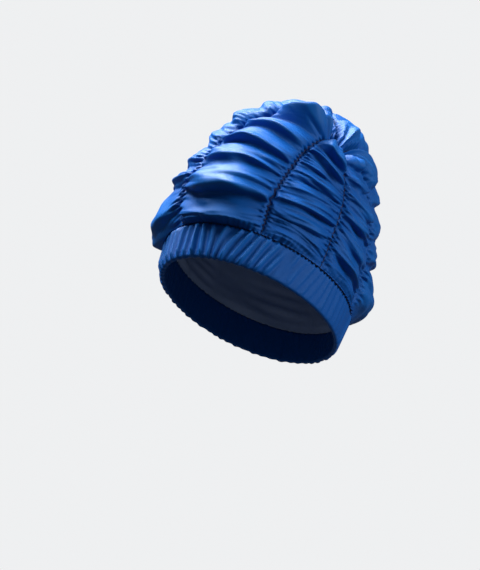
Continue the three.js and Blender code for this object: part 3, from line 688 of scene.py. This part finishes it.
def seam_track(index, rises):
    """Points along a seam, with the directions round the ring, up the climb and out."""
    angle = seam_angle(index, rises)
    return (seam_point(angle, rises), *seam_frame(angle, rises))


def strip_surface(points, side, out, width, cords, closed=False):
    """A flat woven elastic: a closed section, straight over its width with one low round
    cord after another, carried along a path. An open strip's ends are closed to their
    middles. A closed one's path ends where it starts, and its last point is left out."""
    across = np.linspace(-0.5, 0.5, 4 * cords + 1)
    bulge = 0.12 * YARN * (np.abs(np.sin(np.pi * cords * (across + 0.5))) - 1)
    width = np.broadcast_to(width, len(points))[:, None]
    section_side = np.concatenate([across, across[::-1]]) * width
    section_out = np.concatenate([YARN / 2 + bulge, -YARN / 2 - bulge[::-1]]) + 0 * section_side
    rows = points[:, None] + side[:, None] * section_side[..., None] + out[:, None] * section_out[..., None]
    if closed:
        return rows[:-1] * MM
    return np.concatenate([rows[:1] * 0 + points[0], rows, rows[:1] * 0 + points[-1]], 0) * MM


def lining_surface():
    """The film: the seam surface moved inwards by the layers over it, hanging in a little
    further between the seams, with small gathers that run across each panel."""
    rng = np.random.default_rng(5)
    S, R = np.meshgrid(np.arange(LINING_COLUMNS) / LINING_COLUMNS, np.linspace(0, 1, LINING_ROWS + 1))
    angle = angle_at(S)
    places = np.array(SEAM_PLACES + [1 + SEAM_SHARES[1]])
    number = np.searchsorted(places, S, side="right") - 1
    left, right = places[number], places[number + 1]
    between = np.sin(np.pi * (S - left) / (right - left))
    along = climb_lengths(0.0, R)
    gather = waves(rng, along, LINING_ROUND * S * 0.18, 13, 7)
    calm = smooth(along, 0, 8) * (1 - smooth(R, 0.9, 1))
    hang = between ** 0.6 * (1.2 + 2.2 * gather) * calm
    depth = LINING_DEPTH + LINING_EASE * smooth(R, 0, TUCK) + np.maximum(hang, 0)
    return (seam_point(angle, R) - seam_frame(angle, R)[2] * depth[..., None]) * MM


def stitch_shapes(centres, along, side, out):
    """Short stitches: a stretched ball of four rings of six points and two tips, its
    radius the sine and its place the cosine of one angle, put at each centre along its
    direction."""
    rings, sides = 4, 6
    ring = np.linspace(0, np.pi, rings + 2)
    turn = np.arange(sides) * FULL_TURN / sides
    round_ring = STITCH_RADIUS * np.sin(ring[1:-1, None])
    half = STITCH_LENGTH / 2
    lengthwise = np.concatenate([[-half], np.repeat(-half * np.cos(ring[1:-1]), sides), [half]])
    sideways = np.concatenate([[0], (round_ring * np.cos(turn)).ravel(), [0]])
    outwards = np.concatenate([[0], (round_ring * np.sin(turn)).ravel(), [0]])
    points = (centres[:, None] + along[:, None] * lengthwise[None, :, None]
              + side[:, None] * sideways[None, :, None] + out[:, None] * outwards[None, :, None])
    last = 1 + (rings - 1) * sides
    faces = []
    for k in range(sides):
        n = (k + 1) % sides
        faces.append([0, 1 + n, 1 + k])
        faces += [[j + k, j + n, j + sides + n, j + sides + k] for j in range(1, last, sides)]
        faces.append([last + sides, last + k, last + n])
    count = points.shape[1]
    whole = [[corner + count * place for corner in face] for place in range(len(centres)) for face in faces]
    return points.reshape(-1, 3) * MM, whole


# Meshes

def grid_faces(rows, columns, closed_rows=False, closed_columns=False):
    """Quads of a grid of rows by columns of points, anticlockwise seen from outside."""
    index = np.arange(rows * columns).reshape(rows, columns)
    if closed_rows:
        index = np.concatenate([index, index[:1]], 0)
    if closed_columns:
        index = np.concatenate([index, index[:, :1]], 1)
    return np.stack([index[:-1, :-1], index[:-1, 1:], index[1:, 1:], index[1:, :-1]], -1).reshape(-1, 4)


def make_object(name, points, faces, flat=None, crest=None):
    """A smooth mesh object from arrays of points and faces, with the place on the flat
    cloth as its UV map and the nearness to a crest as an attribute."""
    mesh = bpy.data.meshes.new(name)
    mesh.from_pydata(points.reshape(-1, 3).tolist(), [], [list(face) for face in faces])
    mesh.polygons.foreach_set("use_smooth", np.ones(len(faces), bool))
    if flat is not None:
        layer = mesh.uv_layers.new(name="flat_cloth")
        corners = np.empty(len(mesh.loops), np.int64)
        mesh.loops.foreach_get("vertex_index", corners)
        layer.data.foreach_set("uv", flat.reshape(-1, 2)[corners].astype(np.float32).ravel())
    if crest is not None:
        layer = mesh.attributes.new("crest", "FLOAT", "POINT")
        layer.data.foreach_set("value", crest.astype(np.float32).ravel())
    mesh.update()
    piece = bpy.data.objects.new(name, mesh)
    bpy.context.scene.collection.objects.link(piece)
    return piece


def make_grid(name, points, closed_rows=False, closed_columns=False, flat=None, crest=None):
    """A mesh object from a grid of points, closed into a ring along rows or columns."""
    faces = grid_faces(*points.shape[:2], closed_rows, closed_columns)
    return make_object(name, points, faces, flat, crest)


def closed_ring(points):
    """The grid with its first column once more at the end."""
    return np.concatenate([points, points[:, :1]], 1)


def thicken(piece, thickness, offset=-1.0):
    """Give a surface a wall, inwards from it, or to both sides at offset 0."""
    wall = piece.modifiers.new("wall", "SOLIDIFY")
    wall.thickness = thickness
    wall.offset = offset
    wall.use_even_offset = False


def weld(piece):
    """Join points that lie together, as at a pole or a closed end, and drop the faces
    that this leaves without area."""
    mesh = bmesh.new()
    mesh.from_mesh(piece.data)
    bmesh.ops.remove_doubles(mesh, verts=mesh.verts, dist=1e-6)
    bmesh.ops.dissolve_degenerate(mesh, edges=mesh.edges, dist=1e-7)
    mesh.to_mesh(piece.data)
    mesh.free()


def finish_piece(piece, material, slot, *nodes):
    """Give a piece its material and body, and let it replace its nodes; its slot is not used."""
    piece.data.materials.append(material)
    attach(piece, "root")
    if nodes:
        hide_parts(*nodes)


def grid_area(points):
    """Area of a grid of quads in square metres: half the length of the cross product of
    each quad's diagonals."""
    first = points[1:, 1:] - points[:-1, :-1]
    second = points[1:, :-1] - points[:-1, 1:]
    return float(np.linalg.norm(np.cross(first, second), axis=-1).sum() / 2)


def flat_size(flat):
    """The width and the length of a flat sheet, in metres."""
    return float(flat[..., 0].max()), float(flat[..., 1].max())


def cloth_area(points, size, least, most):
    """The area of a sheet as it lies, in square metres, kept between two shares of its
    flat size."""
    whole = size[0] * size[1]
    return max(least, min(most, grid_area(points) / whole)) * whole


# Shader maths

class Value:
    """One socket of a node tree. Sums, products and powers of values add Math nodes."""

    def __init__(self, recipe, socket):
        self.recipe = recipe
        self.socket = socket

    def _math(self, operation, first, second=None):
        inputs = {0: first} if second is None else {0: first, 1: second}
        return self.recipe.node("ShaderNodeMath", {"operation": operation}, inputs)

    def __add__(self, other):
        return self._math("ADD", self, other)

    def __radd__(self, other):
        return self._math("ADD", other, self)

    def __sub__(self, other):
        return self._math("SUBTRACT", self, other)

    def __rsub__(self, other):
        return self._math("SUBTRACT", other, self)

    def __mul__(self, other):
        return self._math("MULTIPLY", self, other)

    def __rmul__(self, other):
        return self._math("MULTIPLY", other, self)

    def __pow__(self, other):
        return self._math("POWER", self, other)

    def sine(self):
        """The sine of the value."""
        return self._math("SINE", self)

    def larger(self, other):
        """The larger of two values."""
        return self._math("MAXIMUM", self, other)

    def output(self, place):
        """Another output of the same node."""
        return Value(self.recipe, self.socket.node.outputs[place])


class Recipe:
    """The node tree of a new material or of a world."""

    def __init__(self, owner):
        self.owner = bpy.data.materials.new(owner) if isinstance(owner, str) else owner
        self.owner.use_nodes = True
        self.tree = self.owner.node_tree
        self.tree.nodes.clear()

    def node(self, kind, settings=None, inputs=None, output=0):
        """A node of one kind: its settings first, then its sockets' values or links."""
        made = self.tree.nodes.new(kind)
        for key, value in (settings or {}).items():
            setattr(made, key, value)
        for key, value in (inputs or {}).items():
            if isinstance(value, Value):
                self.tree.links.new(value.socket, made.inputs[key])
            else:
                made.inputs[key].default_value = value
        return Value(self, made.outputs[output]) if made.outputs else None

    def mix(self, factor, first, second):
        """A colour between two colours."""
        return self.node("ShaderNodeMix", {"data_type": "RGBA"}, {0: factor, 6: first, 7: second}, 2)

    def parts(self, vector):
        """The three numbers of a vector."""
        numbers = self.node("ShaderNodeSeparateXYZ", None, {0: vector})
        return [numbers.output(place) for place in range(3)]

    def stretch(self, vector, sizes):
        """A vector times three sizes."""
        return self.node("ShaderNodeVectorMath", {"operation": "MULTIPLY"}, {0: vector, 1: sizes})

    def noise(self, vector, scale, detail=2.0, roughness=0.5):
        """A soft random pattern, 0 to 1."""
        return self.node("ShaderNodeTexNoise", None,
                         {"Vector": vector, "Scale": scale, "Detail": detail, "Roughness": roughness})

    def surface(self, **sockets):
        """The principled shader with these sockets, as the material's surface."""
        inputs = {key.replace("_", " "): value for key, value in sockets.items()}
        shader = self.node("ShaderNodeBsdfPrincipled", None, inputs)
        self.node("ShaderNodeOutputMaterial", None, {"Surface": shader})
        return self.owner


def colour(values):
    """A colour with full alpha."""
    return (*values[:3], 1.0)


SKY_COLOUR = colour((0.9, 0.94, 1.0))


def cloth_material(name, settings):
    """Woven swim cloth with a low satin sheen: a plain weave from two crossed sines on the
    flat cloth, uneven yarns, fine creases, and a paler blue painted on the crests as a highlight."""
    r = Recipe(name)
    flat = r.node("ShaderNodeUVMap", {"uv_map": "flat_cloth"})
    crest = r.node("ShaderNodeAttribute", {"attribute_name": "crest"}, output=2)
    place = r.node("ShaderNodeTexCoord", output=3)
    warp, weft, _ = r.parts(flat)
    turn = 2 * math.pi / (WEAVE_PITCH * MM)
    weave = (warp * turn).sine() * (weft * turn).sine()
    yarns = r.noise(r.stretch(flat, (900.0, 120.0, 1.0)), 1.0, 2.0)
    creases = r.noise(r.stretch(flat, (60.0, 330.0, 1.0)), 1.0, 4.0, 0.6)
    cloud = r.noise(place, 26.0, 3.0)
    # Painted highlight: the cloth's colour turns paler towards the crests, where light falls on them; the same
    # mask also makes the crests a little smoother.
    highlit = (crest ** 2) * (0.55 + 0.45 * cloud)
    deep = r.mix(cloud, colour([c * 0.86 for c in settings.cloth_colour]), colour(settings.cloth_colour))
    # Painted highlight: the colour is mixed towards the paler crest blue on the crests.
    base = r.mix(highlit * 0.35, deep, colour(settings.crest_highlight_colour))
    height = weave * 0.25 + yarns * 0.35 + creases * 1.6
    bump = r.node("ShaderNodeBump", None, {"Strength": 0.5, "Distance": 0.00025, "Height": height})
    rough = settings.cloth_roughness - 0.08 * highlit + 0.08 * (cloud - 0.5)
    return r.surface(Base_Color=base, Roughness=rough, Normal=bump, Sheen_Weight=0.02,
                     Sheen_Roughness=0.35, Sheen_Tint=(0.1, 0.4, 1.0, 1.0), Specular_IOR_Level=0.25,
                     Specular_Tint=(0.50, 0.74, 1.0, 1.0))


def film_material(name, settings):
    """Thin milky plastic film: soft mottling, fine shrink wrinkles and a low gloss."""
    r = Recipe(name)
    place = r.node("ShaderNodeTexCoord", output=3)
    mottle = r.noise(place, 38.0, 4.0, 0.6)
    wrinkle = r.noise(r.stretch(place, (1.0, 1.0, 0.45)), 260.0, 3.0, 0.65)
    pale = colour([min(1.0, c * 1.12) for c in settings.film_colour])
    base = r.mix(mottle, colour([c * 0.9 for c in settings.film_colour]), pale)
    bump = r.node("ShaderNodeBump", None, {"Strength": 0.4, "Distance": 0.0004, "Height": wrinkle})
    return r.surface(Base_Color=base, Roughness=0.34 + 0.16 * mottle, Normal=bump,
                     Specular_IOR_Level=0.5, Sheen_Weight=0.05)


def thread_material(name, shade, pitch=0.9):
    """Twisted thread or covered elastic: a slanting sine on the place, and fine fuzz."""
    r = Recipe(name)
    place = r.node("ShaderNodeTexCoord", output=3)
    x, y, z = r.parts(place)
    twist = ((x + y * 0.7 + z * 1.3) * (2 * math.pi / (pitch * MM))).sine()
    fuzz = r.noise(place, 2400.0, 2.0)
    # Painted shade: the colour is darker where the twist's bump is low, in the grooves of the twist.
    base = r.mix(0.5 + 0.5 * twist, colour([c * 0.7 for c in shade]), colour(shade))
    bump = r.node("ShaderNodeBump", None, {"Strength": 0.5, "Distance": 0.0002, "Height": twist + fuzz})
    return r.surface(Base_Color=base, Roughness=0.6 + 0.2 * fuzz, Normal=bump, Sheen_Weight=0.2)


# Settings

class CapClothSettings(bpy.types.PropertyGroup):
    puff_share: FloatProperty(
        name="Puff", description="Share of each panel's full puff height", default=1.0, min=0)
    crease_depth: FloatProperty(
        name="Crease depth", description="Share of the puff that a crease takes",
        default=0.92, min=0, max=1, subtype="FACTOR")
    lean: FloatProperty(
        name="Fold lean", description="Share of each panel's own lean of its folds downhill",
        default=1.0, min=0, max=2, subtype="FACTOR")
    crown_pleats: FloatProperty(
        name="Crown pleats", description="Pleats of each panel at the crown", default=2.5)
    panel_end: FloatProperty(
        name="Panel end", description="Share of the climb where the cloth ends",
        default=0.985, min=0, max=1, subtype="FACTOR")
    grid_pitch: FloatProperty(
        name="Row pitch", description="Distance between the grid's rows, in mm", default=0.8)
    grid_columns: IntProperty(
        name="Columns", description="Columns of the grid across a panel", default=64)
    seam_sway: FloatProperty(
        name="Seam sway", description="How far the tucks push a seam aside, in mm", default=1.5)
    seam_gap: FloatProperty(
        name="Seam gap", description="Gap between the panels at a seam, in mm", default=1.3)
    groove_width: FloatProperty(
        name="Groove", description="Width of the dark groove along a seam, in mm", default=2.0)
    allowance: FloatProperty(
        name="Seam allowance", description="Cloth turned in at a seam, in mm", default=0.9)
    thickness: FloatProperty(
        name="Cloth thickness", description="Thickness of the cloth", default=0.00035, unit="LENGTH")
    rib_depth: FloatProperty(
        name="Rib depth", description="Height of the band's ribs, in mm", default=2.4)
    rib_count: IntProperty(
        name="Ribs", description="Number of ribs round the band", default=64)
    cloth_colour: FloatVectorProperty(
        name="Cloth colour", description="Royal blue of the cloth",
        subtype="COLOR", default=(0.002, 0.076, 0.34))
    # Painted highlight: the paler blue that the cloth's colour takes on at its crests.
    crest_highlight_colour: FloatVectorProperty(
        name="Crest colour", description="Paler blue on worn crests",
        subtype="COLOR", default=(0.008, 0.16, 0.52))
    cloth_roughness: FloatProperty(
        name="Cloth roughness", description="Roughness of the cloth",
        default=0.5, min=0, max=1, subtype="FACTOR")
    film_colour: FloatVectorProperty(
        name="Film colour", description="Milky blue of the lining",
        subtype="COLOR", default=(0.30, 0.40, 0.62))


class CapStageSettings(bpy.types.PropertyGroup):
    azimuth: FloatProperty(
        name="Azimuth", description="Camera angle round the cap", subtype="ANGLE", default=math.radians(34))
    elevation: FloatProperty(
        name="Elevation", description="Camera angle over the rim", subtype="ANGLE", default=math.radians(-23))
    roll: FloatProperty(
        name="Roll", description="Tilt of the picture", subtype="ANGLE", default=math.radians(20))
    distance: FloatProperty(
        name="Distance", description="Camera distance", unit="LENGTH", default=1.7)
    lens: FloatProperty(
        name="Lens", description="Focal length in mm", default=124.5)
    key_power: FloatProperty(
        name="Key lamp", description="Power of the lamp behind the cap's top, in W", default=140.0)
    fill_power: FloatProperty(
        name="Fill lamp", description="Power of the lamp at the right, in W", default=34.0)
    front_power: FloatProperty(
        name="Front lamp", description="Power of the lamp over the front, in W", default=52.0)
    world_strength: FloatProperty(
        name="Sky light", description="Strength of the even light", default=0.12)
    pale: FloatVectorProperty(
        name="Backdrop colour", description="Colour of the floor and the sky",
        subtype="COLOR", default=(0.86, 0.87, 0.88))


# Operators

class CAP_OT_panels(bpy.types.Operator):
    """Make the eight gathered panels of cloth between the seams"""
    bl_idname = "cap.panels"
    bl_label = "Gathered panels"

    def execute(self, context):
        settings = context.scene.cap_cloth
        material = cloth_material("gathered_cloth", settings)
        for index in range(SEAM_COUNT):
            points, flat, crest = panel_surface(index, settings)
            piece = make_grid(f"gathered_panel_{index + 1}", points, flat=flat, crest=crest)
            thicken(piece, settings.thickness)
            finish_piece(piece, material, "cloth", f"outer_panel_{index + 1}")
            size = flat_size(flat)
            cloth_area(points, size, *PANEL_AREA)
        return {"FINISHED"}


class CAP_OT_band(bpy.types.Operator):
    """Make the ribbed casing of the band and the elastic inside it"""
    bl_idname = "cap.band"
    bl_label = "Ribbed band"

    def execute(self, context):
        settings = context.scene.cap_cloth
        self.make_casing(settings)
        self.make_elastic()
        return {"FINISHED"}

    def make_casing(self, settings):
        """The casing, with its sheet of cloth."""
        points, flat, crest = band_surface(settings)
        casing = make_grid("ribbed_casing", points, closed_columns=True, flat=flat, crest=crest)
        thicken(casing, settings.thickness * BAND_CLOTH_SHARE)
        finish_piece(casing, cloth_material("band_cloth", settings), "cloth", "band_casing")
        size = flat_size(flat)
        cloth_area(closed_ring(points), size, *BAND_AREA)

    def make_elastic(self):
        """The wide elastic: a flat strip round the middle of the casing's depth."""
        turn = np.linspace(0, FULL_TURN, 257)
        z = BAND_ELASTIC_BOTTOM + BAND_ELASTIC_WIDTH / 2 + 0 * turn
        middle = band_point(turn, z, 0 * turn - ELASTIC_DEPTH)
        upward = unit(band_point(turn, z + 1, 0 * turn - ELASTIC_DEPTH) - middle)
        out = unit(middle * [1, 1, 0])
        loop = strip_surface(middle, upward, out, BAND_ELASTIC_WIDTH, BAND_CORDS, closed=True)
        elastic = make_grid("woven_band_elastic", loop, closed_rows=True, closed_columns=True)
        finish_piece(elastic, thread_material("band_elastic_yarn", ELASTIC_BLUE), "elastic", "band_elastic")


class CAP_OT_trim(bpy.types.Operator):
    """Make the seam elastics, the joining tape, the crown patch and the stitches"""
    bl_idname = "cap.trim"
    bl_label = "Elastics, tape and stitches"

    def execute(self, context):
        elastic_finish = thread_material("seam_elastic_yarn", ELASTIC_BLUE)
        tape_finish = thread_material("tape_yarn", TAPE_BLUE)
        thread_finish = thread_material("dark_thread", THREAD_BLUE, 0.5)
        for index in range(SEAM_COUNT):
            self.make_seam_elastic(index, elastic_finish)
        seams = [self.seam_stitches(index) for index in range(SEAM_COUNT)]
        for name, group in (("seam_thread", seams), ("joining_thread", [self.joint_stitches()])):
            points, faces = stitch_shapes(*(np.concatenate(parts) for parts in zip(*group)))
            finish_piece(make_object(name, points, faces), thread_finish, "cloth")
        self.make_tape(tape_finish)
        self.make_patch(tape_finish)
        return {"FINISHED"}

    def make_seam_elastic(self, index, material):
        """The narrow elastic under one seam, which tapers off towards the crown."""
        rises = np.linspace(*SEAM_ELASTIC_RISES, 90)
        points, ring, _, out = seam_track(index, rises)
        width = SEAM_ELASTIC_WIDTH * (1 - smooth(rises, DIMPLE_START, 1))
        strip = strip_surface(points - out * ELASTIC_DEPTH, ring, out, width, SEAM_CORDS)
        piece = make_grid(f"woven_seam_elastic_{index + 1}", strip, closed_columns=True)
        weld(piece)
        finish_piece(piece, material, "elastic", f"seam_elastic_{index + 1}")

    def seam_stitches(self, index):
        """The stitches along one seam: their centres and directions."""
        rises = np.linspace(0.002, 0.975, 900)
        points, ring, climb, out = seam_track(index, rises)
        along = climb_lengths(seam_angle(index, rises)[0], rises)
        pick = np.searchsorted(along, np.arange(1.2, along[-1], SEAM_STITCH_PITCH))
        return points[pick] + out[pick] * SEAM_STITCH_LIFT, climb[pick], ring[pick], out[pick]

    def joint_stitches(self):
        """The stitches round the joint of the panels and the band."""
        turn = np.linspace(0, FULL_TURN, 4000)
        edge = seam_point(turn, 0 * turn)
        run = run_along(edge)
        pick = np.searchsorted(run, np.arange(0, run[-1] - 1.5, JOINT_STITCH_PITCH))
        ring, climb, out = seam_frame(turn[pick], 0 * turn[pick])
        centres = edge[pick] + out * JOINT_STITCH_LIFT + climb * joint_wave(turn[pick])[:, None]
        return centres, ring, climb, out

    def make_tape(self, material):
        """The joining tape: a flat strip round the foot of the dome, under the cloth."""
        turn = np.linspace(0, FULL_TURN, 257)
        rise = TAPE_RISE + 0 * turn
        _, climb, out = seam_frame(turn, rise)
        points = seam_point(turn, rise) - out * ELASTIC_DEPTH
        loop = strip_surface(points, climb, out, TAPE_WIDTH, TAPE_CORDS, closed=True)
        tape = make_grid("woven_joining_tape", loop, closed_rows=True, closed_columns=True)
        finish_piece(tape, material, "tape", "joining_tape")

    def make_patch(self, material):
        """The crown patch: the seam surface round the crown, moved inwards, with a ruffle
        that is a sine round the crown and fades towards its middle."""
        columns = np.arange(PATCH_COLUMNS) / PATCH_COLUMNS
        share, rise = np.meshgrid(columns, np.linspace(PATCH_START, 1, PATCH_ROWS))
        angle = FULL_TURN * share
        ruffle = PATCH_RUFFLE * np.sin(angle * PATCH_RUFFLES) * (1 - smooth(rise, 0.95, 1))
        out = seam_frame(angle, rise)[2]
        points = (seam_point(angle, rise) + out * (ruffle - ELASTIC_DEPTH)[..., None]) * MM
        patch = make_grid("crown_patch_cloth", points, closed_columns=True)
        weld(patch)
        thicken(patch, PATCH_THICKNESS, 0.0)
        finish_piece(patch, material, "cloth", "crown_patch")


class CAP_OT_lining(bpy.types.Operator):
    """Make the waterproof film inside the cap"""
    bl_idname = "cap.lining"
    bl_label = "Lining film"

    def execute(self, context):
        settings = context.scene.cap_cloth
        points = lining_surface()
        film = make_grid("lining_film", points, closed_columns=True)
        weld(film)
        thicken(film, FILM_THICKNESS)
        finish_piece(film, film_material("milky_film", settings), "film", "lining")
        closed = closed_ring(points)
        size = float(run_along(closed[0])[-1]), float(run_along(points[:, 0])[-1]) * LINING_FULLNESS
        cloth_area(closed, size, *LINING_AREA)
        return {"FINISHED"}


class CAP_OT_stage(bpy.types.Operator):
    """Set up the floor, the pale backdrop, the soft lamps and the camera"""
    bl_idname = "cap.stage"
    bl_label = "Stage"

    def execute(self, context):
        scene = context.scene
        settings = scene.cap_stage
        back = Vector((math.sin(settings.azimuth) * math.cos(settings.elevation),
                       -math.cos(settings.azimuth) * math.cos(settings.elevation),
                       math.sin(settings.elevation)))
        right = Vector((math.cos(settings.azimuth), math.sin(settings.azimuth), 0))
        up = back.cross(right)
        across = right * math.cos(settings.roll) + up * math.sin(settings.roll)
        upright = -right * math.sin(settings.roll) + up * math.cos(settings.roll)
        self.make_camera(scene, settings, across, upright, back)
        self.make_lamps(scene, settings, across, upright, back)
        self.make_sky(scene, settings)
        self.make_floor(settings)
        scene.view_settings.view_transform = "Standard"
        return {"FINISHED"}

    def make_camera(self, scene, settings, across, upright, back):
        """The camera, which looks along the picture's own depth at its aim."""
        camera = bpy.data.objects.new("camera", bpy.data.cameras.new("camera"))
        scene.collection.objects.link(camera)
        place = Matrix((across, upright, back)).transposed().to_4x4()
        place.translation = AIM_ACROSS * across + AIM_UPRIGHT * upright + back * settings.distance
        camera.matrix_world = place
        camera.data.sensor_width = SENSOR_WIDTH
        camera.data.lens = settings.lens
        scene.camera = camera

    def make_lamps(self, scene, settings, across, upright, back):
        """Square soft lamps that point at the middle of the cap."""
        for name, (to_right, to_top, to_back) in LAMPS.items():
            lamp = bpy.data.lights.new(f"{name}_lamp", "AREA")
            lamp.energy = getattr(settings, f"{name}_power")
            lamp.size = LAMP_SIZE
            holder = bpy.data.objects.new(f"{name}_lamp", lamp)
            scene.collection.objects.link(holder)
            holder.location = CAP_MIDDLE + (to_right * across + to_top * upright + to_back * back)
            holder.rotation_euler = (CAP_MIDDLE - holder.location).to_track_quat("-Z", "Y").to_euler()

    def make_sky(self, scene, settings):
        """Even pale light, and a brighter pale backdrop for the camera."""
        scene.world = bpy.data.worlds.new("sky")
        r = Recipe(scene.world)
        path = r.node("ShaderNodeLightPath")
        seen = path.larger(path.output("Is Transmission Ray"))
        light = r.node("ShaderNodeBackground", None, {"Color": SKY_COLOUR, "Strength": settings.world_strength})
        backdrop = r.node("ShaderNodeBackground", None, {"Color": colour(settings.pale)})
        mixed = r.node("ShaderNodeMixShader", None, {0: seen, 1: light, 2: backdrop})
        r.node("ShaderNodeOutputWorld", None, {"Surface": mixed})

    def make_floor(self, settings):
        """A plain floor under the rim that is seen from above only, so that the camera
        below it sees the cap."""
        sides = [-FLOOR_HALF, FLOOR_HALF]
        corners = np.array([[[x, y, -FLOOR_DROP] for x in sides] for y in sides])
        floor = make_grid("floor", corners)
        r = Recipe("pale_floor")
        path = r.node("ShaderNodeLightPath")
        behind = r.node("ShaderNodeNewGeometry", output=6)
        shown = path * (1 - behind)
        clear = r.node("ShaderNodeBsdfTransparent")
        matt = r.node("ShaderNodeBsdfDiffuse", None, {"Color": colour(settings.pale)})
        mixed = r.node("ShaderNodeMixShader", None, {0: shown, 1: clear, 2: matt})
        r.node("ShaderNodeOutputMaterial", None, {"Surface": mixed})
        floor.data.materials.append(r.owner)


class CAP_PT_panel(bpy.types.Panel):
    """Buttons for the cap's pieces, in the sidebar"""
    bl_idname = "CAP_PT_panel"
    bl_label = "Shower cap"
    bl_space_type = "VIEW_3D"
    bl_region_type = "UI"
    bl_category = "Shower cap"

    def draw(self, context):
        layout = self.layout
        for operator in OPERATORS:
            layout.operator(operator.bl_idname)
        for group in (context.scene.cap_cloth, context.scene.cap_stage):
            for key in group.__annotations__:
                layout.prop(group, key)


OPERATORS = [CAP_OT_panels, CAP_OT_band, CAP_OT_trim, CAP_OT_lining, CAP_OT_stage]
GROUPS = [CapClothSettings, CapStageSettings]


def register():
    for group in GROUPS + OPERATORS + [CAP_PT_panel]:
        bpy.utils.register_class(group)
    bpy.types.Scene.cap_cloth = PointerProperty(type=CapClothSettings)
    bpy.types.Scene.cap_stage = PointerProperty(type=CapStageSettings)


def unregister():
    del bpy.types.Scene.cap_cloth
    del bpy.types.Scene.cap_stage
    for group in reversed(GROUPS + OPERATORS + [CAP_PT_panel]):
        bpy.utils.unregister_class(group)


def main():
    """Make the cap and its stage."""
    register()
    bpy.ops.cap.panels()
    bpy.ops.cap.band()
    bpy.ops.cap.trim()
    bpy.ops.cap.lining()
    bpy.ops.cap.stage()


if __name__ == "__main__":
    main()
